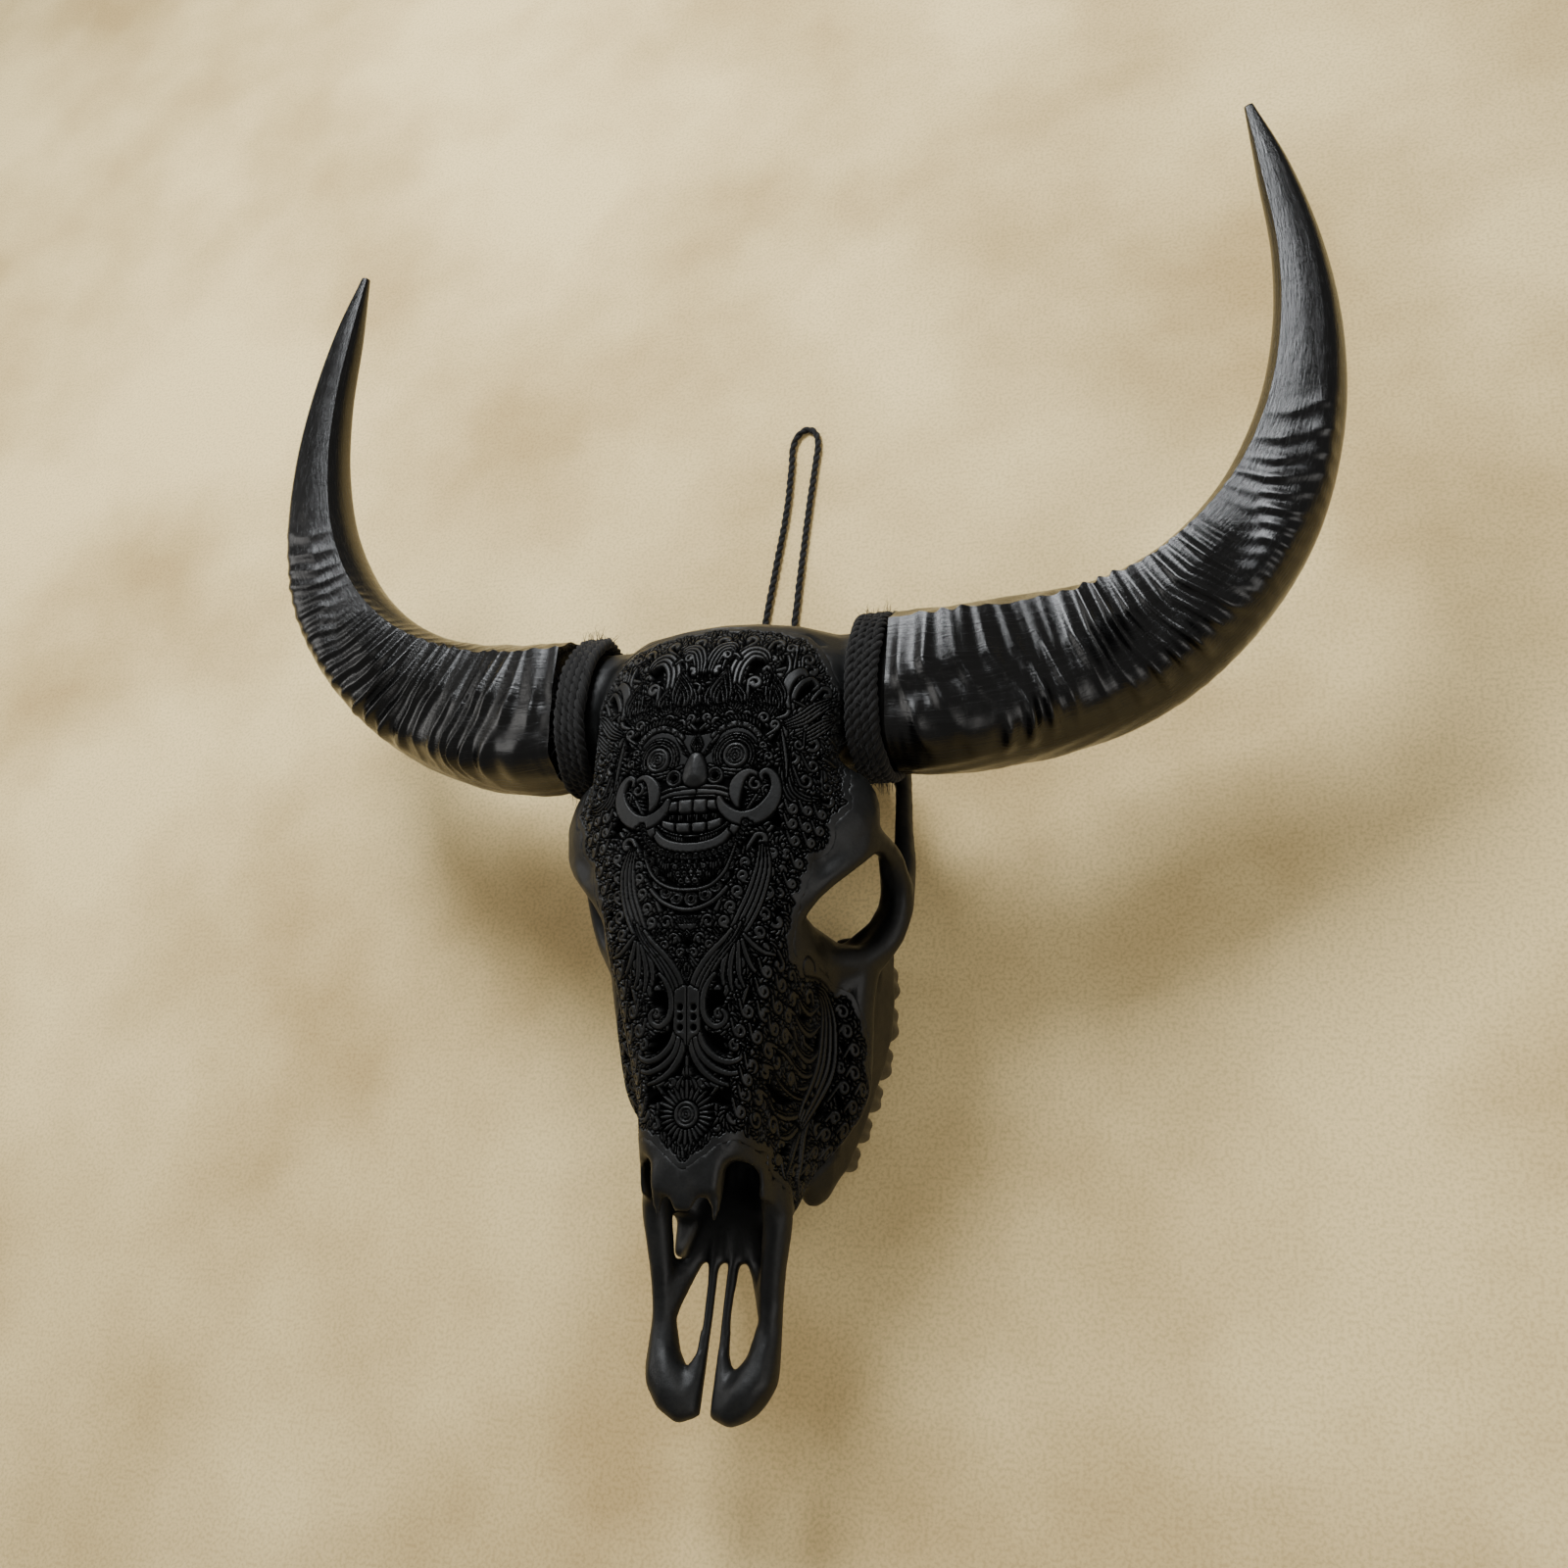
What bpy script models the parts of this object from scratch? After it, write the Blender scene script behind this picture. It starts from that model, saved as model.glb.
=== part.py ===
"""A carved water buffalo skull with its horns, rope lashings and hanging cord.

It lies on its cheek teeth and on the processes behind the braincase, forehead up. The muzzle
points to -Y, the horn tips to +Y, and X is left to right. Metres, +Z up, Z = 0 is the surface
that the skull lies on. Bone, teeth, horns and lashings are modelled for the right side and
mirrored for the left; the hanging cord has a side of its own.
"""

import math

import bmesh
import bpy
from mathutils import Euler, Matrix, Vector

# Fineness of the bone
SKULL_VOXEL = 0.0030
SKULL_TRIANGLES = 3700
SMOOTH_PASSES = 6
LINE_STEPS = 24  # between two given points of a smooth line
BAR_BEVEL = 3
SHARP_ANGLE = 40  # degrees
FIT_GAP = 0.0004  # between two pieces that touch
FRAME_SHIFT = 0.0035  # along Y, so that the origin is under the middle of the skull with its horns

# Cross-sections of the braincase and face, from muzzle to nape:
# y, height of the midline, shoulder (x, z), side (x, z), foot (x, z), height of the underside
SECTIONS = (
    (-0.286, 0.153, (0.026, 0.150), (0.043, 0.112), (0.040, 0.070), 0.066),
    (-0.262, 0.156, (0.030, 0.151), (0.044, 0.114), (0.046, 0.062), 0.060),
    (-0.235, 0.161, (0.034, 0.155), (0.045, 0.114), (0.058, 0.052), 0.056),
    (-0.205, 0.170, (0.041, 0.162), (0.055, 0.112), (0.072, 0.050), 0.052),
    (-0.172, 0.180, (0.049, 0.171), (0.063, 0.116), (0.077, 0.048), 0.050),
    (-0.142, 0.190, (0.057, 0.180), (0.072, 0.128), (0.078, 0.048), 0.049),
    (-0.122, 0.195, (0.060, 0.183), (0.064, 0.142), (0.070, 0.056), 0.050),
    (-0.106, 0.198, (0.068, 0.184), (0.038, 0.142), (0.030, 0.080), 0.060),
    (-0.085, 0.201, (0.078, 0.184), (0.034, 0.138), (0.019, 0.080), 0.064),
    (-0.060, 0.205, (0.081, 0.187), (0.038, 0.134), (0.024, 0.070), 0.056),
    (-0.022, 0.210, (0.082, 0.190), (0.048, 0.124), (0.036, 0.052), 0.044),
    (0.014, 0.213, (0.082, 0.192), (0.060, 0.116), (0.043, 0.044), 0.036),
    (0.042, 0.209, (0.078, 0.187), (0.067, 0.108), (0.047, 0.040), 0.031),
    (0.062, 0.199, (0.072, 0.177), (0.066, 0.104), (0.046, 0.040), 0.030),
    (0.073, 0.184, (0.062, 0.162), (0.060, 0.100), (0.042, 0.044), 0.036),
)
HALF_RING = 12

# Rounded masses fused into the bone: centre, half sizes, turn about X, Y and Z in degrees
MASSES = (
    ((0.076, -0.058, 0.1705), (0.033, 0.034, 0.0145), (0, 24, 0)),  # roof of the eye socket
    ((0.046, -0.248, 0.042), (0.011, 0.028, 0.022), (0, 0, -14)),  # front of the tooth ridge
    ((0.020, 0.073, 0.050), (0.014, 0.016, 0.018), (0, 0, 0)),  # condyle
    ((0.058, 0.036, 0.070), (0.016, 0.022, 0.016), (0, 0, 0)),  # jaw joint
)

# Bars of bone: points (x, y, z) and the bar's radius there
EYE_RING = (
    (0.099, -0.070, 0.153, 0.0090),
    (0.106, -0.072, 0.132, 0.0070),
    (0.107, -0.084, 0.112, 0.0075),
    (0.104, -0.102, 0.101, 0.0085),
    (0.096, -0.119, 0.099, 0.0090),
    (0.083, -0.131, 0.106, 0.0095),
    (0.066, -0.138, 0.122, 0.0100),
)
EYE_ROOF = (
    (0.056, -0.128, 0.172, 0.0080),
    (0.074, -0.106, 0.171, 0.0075),
    (0.090, -0.089, 0.165, 0.0075),
    (0.100, -0.074, 0.156, 0.0080),
)
EYE_FLOOR = (
    (0.101, -0.072, 0.132, 0.0060),
    (0.096, -0.088, 0.100, 0.0070),
    (0.089, -0.104, 0.090, 0.0085),
    (0.074, -0.122, 0.089, 0.0110),
)
CHEEK_ARCH = (
    (0.088, -0.128, 0.098, 0.0110),
    (0.101, -0.104, 0.097, 0.0095),
    (0.105, -0.074, 0.098, 0.0085),
    (0.101, -0.040, 0.095, 0.0075),
    (0.096, -0.006, 0.085, 0.0070),
    (0.086, 0.022, 0.076, 0.0095),
    (0.062, 0.040, 0.070, 0.0120),
)
FACE_CREST = (
    (0.082, -0.126, 0.102, 0.0130),
    (0.073, -0.156, 0.094, 0.0170),
    (0.068, -0.188, 0.080, 0.0190),
    (0.065, -0.212, 0.070, 0.0175),
    (0.054, -0.234, 0.064, 0.0120),
)
MUZZLE_BAR = (
    (0.0385, -0.262, 0.106, 0.0105),
    (0.0395, -0.292, 0.096, 0.0100),
    (0.0362, -0.320, 0.087, 0.0088),
    (0.0350, -0.344, 0.080, 0.0080),
    (0.0330, -0.364, 0.078, 0.0102),
    (0.0295, -0.381, 0.079, 0.0135),
    (0.0195, -0.395, 0.081, 0.0125),
    (0.0098, -0.403, 0.082, 0.0078),
)
PALATE_ROD = (
    (0.0096, -0.405, 0.082, 0.0072),
    (0.0092, -0.386, 0.081, 0.0066),
    (0.0066, -0.362, 0.079, 0.0046),
    (0.0060, -0.340, 0.078, 0.0042),
    (0.0062, -0.310, 0.076, 0.0048),
    (0.0060, -0.272, 0.070, 0.0080),
)
PALATE_EDGE = (
    (0.010, -0.276, 0.070, 0.0080),
    (0.018, -0.302, 0.073, 0.0070),
    (0.031, -0.344, 0.078, 0.0060),
)
NASAL_PRONGS = (
    (
        (0.0050, -0.262, 0.1515, 0.0075),
        (0.0045, -0.284, 0.1490, 0.0052),
        (0.0040, -0.298, 0.1475, 0.0030),
    ),
    (
        (0.0175, -0.262, 0.1485, 0.0065),
        (0.0185, -0.286, 0.1445, 0.0045),
        (0.0180, -0.305, 0.1415, 0.0026),
    ),
)
NECK_PROCESS = (
    (0.044, 0.052, 0.060, 0.0130),
    (0.046, 0.056, 0.030, 0.0095),
    (0.047, 0.058, -0.008, 0.0075),
)
NASAL_SEPTUM = (
    (0.000, -0.268, 0.072, 0.0060),
    (0.000, -0.240, 0.076, 0.0060),
)

# Hollows cut out of the bone: centre, half sizes, turn about X in degrees
NASAL_CAVITY = ((0.0, -0.272, 0.109), (0.0370, 0.098, 0.0375), 8)
THROAT = ((0.0, -0.040, 0.030), (0.020, 0.070, 0.022), 0)
PALATE_HOLLOW = ((0.0, -0.185, 0.020), (0.040, 0.120, 0.034), 0)
PALATE_PLATE = ((0.0, -0.288, 0.0695), (0.038, 0.024, 0.0045))
NARIAL_SLIT = ((0.0295, -0.310, 0.160), (0.0070, 0.045, 0.040))
SPINE_HOLE = ((0.0, 0.090, 0.062), (0.016, 0.050, 0.015), 0)
REST_PLANE_CUT = 0.02  # everything below Z = 0 goes

# Teeth, from the back of the row: centre (x, y), length along the row, width, turn about Z
TEETH = (
    (0.0640, -0.1160, 0.0265, 0.0250, 5.0),
    (0.0650, -0.1440, 0.0265, 0.0260, 0.0),
    (0.0630, -0.1705, 0.0240, 0.0250, -8.0),
    (0.0590, -0.1940, 0.0200, 0.0220, -12.0),
    (0.0540, -0.2150, 0.0185, 0.0200, -15.0),
    (0.0485, -0.2345, 0.0180, 0.0175, -17.0),
)
TOOTH_HEIGHT = 0.034
TOOTH_NECK = 0.86  # width at the top of the root against the width of the crown
CROWN_HEIGHT = 0.012
SOCKET_REACH = 10  # gaps that a socket opens below the crown
GUM_MARGIN = 0.0035
GUM_BOTTOM = 0.021
GUM_TOP = 0.062
TOOTH_CORNERS = 10
TOOTH_SQUARENESS = 3.4

# Right horn: the middle line, half height and half depth of its section along it
HORN_LINE = (
    (0.112, 0.030, 0.150, 0.0530, 0.0420),
    (0.150, 0.031, 0.146, 0.0535, 0.0425),
    (0.198, 0.045, 0.131, 0.0535, 0.0420),
    (0.250, 0.064, 0.127, 0.0485, 0.0380),
    (0.298, 0.093, 0.135, 0.0415, 0.0330),
    (0.335, 0.134, 0.148, 0.0355, 0.0285),
    (0.357, 0.186, 0.163, 0.0290, 0.0235),
    (0.365, 0.243, 0.176, 0.0230, 0.0190),
    (0.362, 0.301, 0.189, 0.0175, 0.0150),
    (0.350, 0.358, 0.203, 0.0122, 0.0108),
    (0.337, 0.404, 0.216, 0.0045, 0.0042),
)
HORN_STATIONS = 44
HORN_CORNERS = (
    # around the section: share of the half height, share of the half depth
    (1.00, 0.10),
    (0.93, 0.52),
    (0.70, 0.92),
    (0.25, 1.00),
    (-0.25, 1.00),
    (-0.70, 0.92),
    (-0.93, 0.52),
    (-1.00, 0.10),
    (-0.92, -0.45),
    (-0.62, -0.84),
    (-0.20, -1.00),
    (0.20, -1.00),
    (0.62, -0.84),
    (0.92, -0.45),
)
HORN_FRONT = (0.0, -0.10, 1.0)
HORN_RIDGES = 11
RIDGED_SHARE = 0.50
RIDGE_FADE = 0.15  # share of the length over which the ridges end
RIDGE_HEIGHT = 0.0034
BACK_RIDGE = 0.3  # height of a ridge at the back against the front

# Rope lashing over the joint between skull and horn
ROPE_CENTRE = (0.0290, 0.1500)  # y, z of its middle
ROPE_START = {1: 0.0845, -1: 0.0925}  # the left lashing sits further out
ROPE_TURNS = 4
ROPE_SPACING = 0.0066
ROPE_HALF_HEIGHT = 0.0575
ROPE_HALF_DEPTH = 0.0440
ROPE_BITE = 0.10  # share of the half sizes that the groove between two turns is deep
CORE_SHARE = 0.78  # the horn core against the lashing's outside
CORE_ROOT = 0.050  # x of its inner end, inside the braincase
CORE_CORNERS = 24
SEAT_SHARE = CORE_SHARE + 0.006
ROPE_INNER_SHARE = SEAT_SHARE + 0.010
SEAT_OUTER_SHARE = 1.10
SEAT_BEYOND = 0.016
ROPE_STEPS = 20

# Hanging cord: a loop from two holes in the nape, lying on the surface behind the skull
CORD_DIAMETER = 0.0056
CORD_HOLE_LENGTH = 0.04
CORD_HOLE_SHARE = 0.62  # its radius against the cord's diameter
CORD_BEVEL = 2
CORD_POINTS = 46
CORD_ROUTE = (
    (-0.0440, 0.0670, 0.0880),
    (-0.0440, 0.0760, 0.0880),
    (-0.0441, 0.0850, 0.0878),
    (-0.0446, 0.0960, 0.0840),
    (-0.0458, 0.1060, 0.0730),
    (-0.0474, 0.1140, 0.0570),
    (-0.0490, 0.1210, 0.0390),
    (-0.0506, 0.1310, 0.0210),
    (-0.0518, 0.1460, 0.0085),
    (-0.0526, 0.1640, 0.0040),
    (-0.0528, 0.1850, 0.0030),
    (-0.0495, 0.2300, 0.0030),
    (-0.0455, 0.2850, 0.0030),
    (-0.0455, 0.3300, 0.0030),
    (-0.0462, 0.3480, 0.0030),
    (-0.0430, 0.3600, 0.0030),
    (-0.0350, 0.3655, 0.0030),
    (-0.0270, 0.3605, 0.0030),
    (-0.0240, 0.3480, 0.0030),
    (-0.0245, 0.3300, 0.0030),
    (-0.0262, 0.2850, 0.0030),
    (-0.0275, 0.2300, 0.0030),
    (-0.0282, 0.1850, 0.0030),
    (-0.0284, 0.1640, 0.0040),
    (-0.0286, 0.1460, 0.0085),
    (-0.0289, 0.1310, 0.0210),
    (-0.0293, 0.1210, 0.0390),
    (-0.0297, 0.1140, 0.0570),
    (-0.0300, 0.1060, 0.0730),
    (-0.0300, 0.0960, 0.0840),
    (-0.0300, 0.0850, 0.0878),
    (-0.0300, 0.0760, 0.0880),
    (-0.0300, 0.0670, 0.0880),
)


def clear_scene():
    for obj in list(bpy.data.objects):
        bpy.data.objects.remove(obj, do_unlink=True)


def new_collection(name):
    collection = bpy.data.collections.new(name)
    bpy.context.scene.collection.children.link(collection)
    return collection


def new_material(name, colour, roughness):
    material = bpy.data.materials.new(name)
    material.use_nodes = True
    shader = material.node_tree.nodes["Principled BSDF"]
    shader.inputs["Base Color"].default_value = (*colour, 1.0)
    shader.inputs["Roughness"].default_value = roughness
    shader.inputs["Metallic"].default_value = 0.0
    material.diffuse_color = (*colour, 1.0)
    return material


def new_object(name, mesh, collection, material=None):
    obj = bpy.data.objects.new(name, mesh)
    obj.location.y = FRAME_SHIFT
    collection.objects.link(obj)
    if material:
        mesh.materials.append(material)
    return obj


def evaluated_mesh(obj):
    depsgraph = bpy.context.evaluated_depsgraph_get()
    depsgraph.update()
    return bpy.data.meshes.new_from_object(obj.evaluated_get(depsgraph))


def smooth_line(points, count):
    """Points at even distances along a Catmull-Rom curve through the given ones."""
    before = tuple(2 * a - b for a, b in zip(points[0], points[1]))
    after = tuple(2 * a - b for a, b in zip(points[-1], points[-2]))
    rows = [before, *points, after]
    fine = []
    for i in range(1, len(rows) - 2):
        for k in range(LINE_STEPS):
            t = k / LINE_STEPS
            value = []
            for a, b, c, d in zip(rows[i - 1], rows[i], rows[i + 1], rows[i + 2]):
                value.append(
                    0.5 * (2 * b + (c - a) * t + (2 * a - 5 * b + 4 * c - d) * t * t
                           + (3 * b - a - 3 * c + d) * t ** 3)
                )
            fine.append(value)
    fine.append(list(rows[-2]))
    lengths = [0.0]
    for p, q in zip(fine, fine[1:]):
        lengths.append(lengths[-1] + (Vector(q[:3]) - Vector(p[:3])).length)
    out = []
    j = 0
    for i in range(count):
        want = lengths[-1] * i / (count - 1)
        while j < len(lengths) - 2 and lengths[j + 1] < want:
            j += 1
        span = max(lengths[j + 1] - lengths[j], 1e-9)
        t = min(max((want - lengths[j]) / span, 0.0), 1.0)
        out.append(tuple(a + (b - a) * t for a, b in zip(fine[j], fine[j + 1])))
    return out


def loft(rings):
    """A closed bmesh skinned over rings that all have the same number of points."""
    bm = bmesh.new()
    rows = [[bm.verts.new(p) for p in ring] for ring in rings]
    count = len(rows[0])
    for lower, upper in zip(rows, rows[1:]):
        for i in range(count):
            j = (i + 1) % count
            bm.faces.new((lower[i], lower[j], upper[j], upper[i]))
    bm.faces.new(list(reversed(rows[0])))
    bm.faces.new(rows[-1])
    bmesh.ops.recalc_face_normals(bm, faces=bm.faces)
    return bm


def add_to(target, source):
    """Put a bmesh's faces into another one."""
    mesh = bpy.data.meshes.new("piece")
    source.to_mesh(mesh)
    source.free()
    target.from_mesh(mesh)
    bpy.data.meshes.remove(mesh)


def mirrored(point, side):
    return (point[0] * side, *point[1:])


def ball(centre, half_sizes, turn):
    bm = bmesh.new()
    bmesh.ops.create_uvsphere(bm, u_segments=24, v_segments=16, radius=1.0)
    spin = Euler([math.radians(a) for a in turn]).to_matrix().to_4x4()
    place = Matrix.Translation(centre) @ spin @ Matrix.Diagonal((*half_sizes, 1.0))
    bmesh.ops.transform(bm, matrix=place, verts=bm.verts)
    return bm


def box(centre, half_sizes, turn_z=0.0):
    bm = bmesh.new()
    bmesh.ops.create_cube(bm, size=2.0)
    spin = Matrix.Rotation(math.radians(turn_z), 4, "Z")
    place = Matrix.Translation(centre) @ spin @ Matrix.Diagonal((*half_sizes, 1.0))
    bmesh.ops.transform(bm, matrix=place, verts=bm.verts)
    return bm


def bar(points, side=1, count=26):
    """A tapering bar of bone along a smooth line: a curve with a radius at each point."""
    line = smooth_line(points, count)
    data = bpy.data.curves.new("bar", "CURVE")
    data.dimensions = "3D"
    data.bevel_depth = 1.0
    data.bevel_resolution = BAR_BEVEL
    data.use_fill_caps = True
    spline = data.splines.new("POLY")
    spline.points.add(len(line) - 1)
    for point, (x, y, z, radius) in zip(spline.points, line):
        point.co = (x * side, y, z, 1.0)
        point.radius = radius
    obj = bpy.data.objects.new("bar", data)
    bpy.context.scene.collection.objects.link(obj)
    mesh = evaluated_mesh(obj)
    bpy.data.objects.remove(obj, do_unlink=True)
    bm = bmesh.new()
    bm.from_mesh(mesh)
    bpy.data.meshes.remove(mesh)
    bmesh.ops.remove_doubles(bm, verts=bm.verts, dist=0.00005)
    bmesh.ops.recalc_face_normals(bm, faces=bm.faces)
    return bm


def section_ring(section):
    """One closed cross-section of the skull, from its five measured points on the right."""
    y, top, shoulder, side, foot, under = section
    half = [
        (-shoulder[0], shoulder[1]),
        (0.0, top),
        shoulder,
        side,
        foot,
        (0.0, under),
        (-foot[0], foot[1]),
    ]
    points = []
    steps = HALF_RING // 4
    for i in range(1, 5):
        for k in range(steps):
            t = k / steps
            value = []
            for a, b, c, d in zip(half[i - 1], half[i], half[i + 1], half[i + 2]):
                value.append(
                    0.5 * (2 * b + (c - a) * t + (2 * a - 5 * b + 4 * c - d) * t * t
                           + (3 * b - a - 3 * c + d) * t ** 3)
                )
            points.append(value)
    points.append([0.0, under])
    right = [(x, y, z) for x, z in points]
    left = [(-x, y, z) for x, y, z in reversed(right[1:-1])]
    return right + left


def horn_core(side):
    """The oval stump of bone that carries the horn, under the lashing."""
    rings = []
    end = ROPE_START[side] + ROPE_TURNS * ROPE_SPACING + SKULL_VOXEL
    for x in (CORE_ROOT, ROPE_START[side], end):
        ring = []
        for i in range(CORE_CORNERS):
            angle = 2 * math.pi * i / CORE_CORNERS
            y = ROPE_CENTRE[0] + math.cos(angle) * ROPE_HALF_HEIGHT * CORE_SHARE
            z = ROPE_CENTRE[1] + math.sin(angle) * ROPE_HALF_DEPTH * CORE_SHARE
            ring.append((x * side, y, z))
        rings.append(ring)
    return loft(rings)


def tooth_outline(tooth, side, grow=0.0):
    """The rounded oblong of a tooth seen from below."""
    x, y, length, width, turn = tooth
    points = []
    for i in range(TOOTH_CORNERS):
        angle = 2 * math.pi * (i + 0.5) / TOOTH_CORNERS
        c = math.cos(angle)
        s = math.sin(angle)
        total = abs(c) ** TOOTH_SQUARENESS + abs(s) ** TOOTH_SQUARENESS
        scale = total ** (-1 / TOOTH_SQUARENESS)
        u = (width / 2 + grow) * c * scale
        v = (length / 2 + grow) * s * scale
        a = math.radians(turn)
        points.append(((x + u * math.cos(a) - v * math.sin(a)) * side,
                       y + u * math.sin(a) + v * math.cos(a)))
    return points


def tooth_solid(tooth, side, grow=0.0):
    crown = tooth_outline(tooth, side, grow)
    middle = Vector((tooth[0] * side, tooth[1]))
    neck = [middle + (Vector(p) - middle) * TOOTH_NECK for p in crown]
    rings = [
        [(p[0], p[1], -grow * SOCKET_REACH) for p in crown],
        [(p[0], p[1], CROWN_HEIGHT) for p in crown],
        [(p[0], p[1], TOOTH_HEIGHT + grow) for p in neck],
    ]
    return loft(rings)


def skull_masses():
    """Everything that the skull is fused from, as overlapping closed shells in one mesh."""
    whole = loft([section_ring(section) for section in SECTIONS])
    for side in (1, -1):
        for centre, half_sizes, turn in MASSES:
            turned = (turn[0], turn[1] * side, turn[2] * side)
            add_to(whole, ball(mirrored(centre, side), half_sizes, turned))
        add_to(whole, bar(EYE_RING, side))
        add_to(whole, bar(EYE_ROOF, side))
        add_to(whole, bar(EYE_FLOOR, side))
        add_to(whole, bar(CHEEK_ARCH, side))
        add_to(whole, bar(FACE_CREST, side))
        add_to(whole, bar(NECK_PROCESS, side, count=10))
        add_to(whole, horn_core(side))
        for tooth in TEETH:
            middle = (GUM_BOTTOM + GUM_TOP) / 2
            across = tooth[3] / 2 + GUM_MARGIN
            along = tooth[2] / 2 + GUM_MARGIN
            half = (across, along, (GUM_TOP - GUM_BOTTOM) / 2)
            add_to(whole, box((tooth[0] * side, tooth[1], middle), half, tooth[4] * side))
    return whole


def muzzle_masses():
    """The bars, rods and prongs in front of the nasal opening, which no hollow cuts."""
    whole = bmesh.new()
    for side in (1, -1):
        add_to(whole, bar(MUZZLE_BAR, side))
        add_to(whole, bar(PALATE_ROD, side))
        add_to(whole, bar(PALATE_EDGE, side, count=12))
        for prong in NASAL_PRONGS:
            add_to(whole, bar(prong, side, count=10))
    add_to(whole, bar(NASAL_SEPTUM, count=4))
    add_to(whole, box(*PALATE_PLATE))
    return whole


def as_cutter(name, bm, collection):
    mesh = bpy.data.meshes.new(name)
    bm.to_mesh(mesh)
    bm.free()
    obj = new_object(name, mesh, collection)
    obj.hide_render = True
    obj.display_type = "WIRE"
    return obj


def voxel_remesh(obj, size):
    remesh = obj.modifiers.new("fuse", "REMESH")
    remesh.mode = "VOXEL"
    remesh.voxel_size = size
    remesh.adaptivity = 0.0
    return remesh


def subtract(obj, cutter):
    cut = obj.modifiers.new("cut " + cutter.name, "BOOLEAN")
    cut.operation = "DIFFERENCE"
    cut.object = cutter
    cut.solver = "EXACT"


def replace_mesh(obj, mesh):
    """Keep a modifier stack's result as the object's own mesh."""
    old = obj.data
    obj.modifiers.clear()
    obj.data = mesh
    bpy.data.meshes.remove(old)


def build_skull(parts, cutters, material):
    mesh = bpy.data.meshes.new("skull")
    bm = skull_masses()
    bm.to_mesh(mesh)
    bm.free()
    skull = new_object("skull", mesh, parts, material)
    voxel_remesh(skull, SKULL_VOXEL)
    hollows = (
        ("nasal_cavity", NASAL_CAVITY),
        ("throat", THROAT),
        ("palate_hollow", PALATE_HOLLOW),
        ("spine_hole", SPINE_HOLE),
    )
    for name, (centre, half_sizes, turn) in hollows:
        subtract(skull, as_cutter(name, ball(centre, half_sizes, (turn, 0, 0)), cutters))
    for side, word in ((1, "right"), (-1, "left")):
        slit = box(mirrored(NARIAL_SLIT[0], side), NARIAL_SLIT[1])
        subtract(skull, as_cutter(f"narial_slit_{word}", slit, cutters))
    replace_mesh(skull, evaluated_mesh(skull))

    whole = bmesh.new()
    whole.from_mesh(skull.data)
    add_to(whole, muzzle_masses())
    whole.to_mesh(skull.data)
    whole.free()
    voxel_remesh(skull, SKULL_VOXEL)
    smooth = skull.modifiers.new("soften", "SMOOTH")
    smooth.factor = 0.5
    smooth.iterations = SMOOTH_PASSES
    ground = box((0.0, 0.0, -REST_PLANE_CUT), (0.3, 0.5, REST_PLANE_CUT))
    fine = evaluated_mesh(skull)
    fine.calc_loop_triangles()
    decimate = skull.modifiers.new("thin out", "DECIMATE")
    decimate.ratio = SKULL_TRIANGLES / len(fine.loop_triangles)
    bpy.data.meshes.remove(fine)
    subtract(skull, as_cutter("rest_plane", ground, cutters))
    for side, word in ((1, "right"), (-1, "left")):
        subtract(skull, lashing_seat(side, f"lashing_seat_{word}", cutters))
    for side, word in ((1, "right"), (-1, "left")):
        for number, tooth in enumerate(TEETH, start=1):
            name = f"socket_{word}_{number}"
            subtract(skull, as_cutter(name, tooth_solid(tooth, side, FIT_GAP), cutters))
    for number, (end, after) in enumerate(((0, 1), (-1, -2)), start=1):
        start = Vector(CORD_ROUTE[end])
        aim = (Vector(CORD_ROUTE[after]) - start).normalized()
        bm = bmesh.new()
        radius = CORD_DIAMETER * CORD_HOLE_SHARE
        bmesh.ops.create_cone(bm, cap_ends=True, segments=8, depth=CORD_HOLE_LENGTH,
                              radius1=radius, radius2=radius)
        turn = aim.to_track_quat("Z", "Y").to_matrix().to_4x4()
        middle = start + aim * (CORD_HOLE_LENGTH / 2 - FIT_GAP)
        bmesh.ops.transform(bm, matrix=Matrix.Translation(middle) @ turn, verts=bm.verts)
        subtract(skull, as_cutter(f"cord_hole_{number}", bm, cutters))
    replace_mesh(skull, evaluated_mesh(skull))
    shade(skull.data)


def shade(mesh):
    mesh.shade_smooth()
    mesh.set_sharp_from_angle(angle=math.radians(SHARP_ANGLE))


def build_teeth(parts, material):
    for side, word in ((1, "right"), (-1, "left")):
        for number, tooth in enumerate(TEETH, start=1):
            name = f"tooth_{word}_{number}"
            mesh = bpy.data.meshes.new(name)
            bm = tooth_solid(tooth, side)
            bm.to_mesh(mesh)
            bm.free()
            new_object(name, mesh, parts, material)


def ridge(share, strength):
    """How far a growth ring stands out at a share of the horn's length."""
    if share > RIDGED_SHARE:
        return 0.0
    fade = min(1.0, (RIDGED_SHARE - share) / RIDGE_FADE)
    phase = HORN_RIDGES * share / RIDGED_SHARE
    wave = 0.5 - 0.5 * math.cos(2 * math.pi * phase)
    return RIDGE_HEIGHT * fade * wave ** 1.5 * strength


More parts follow.
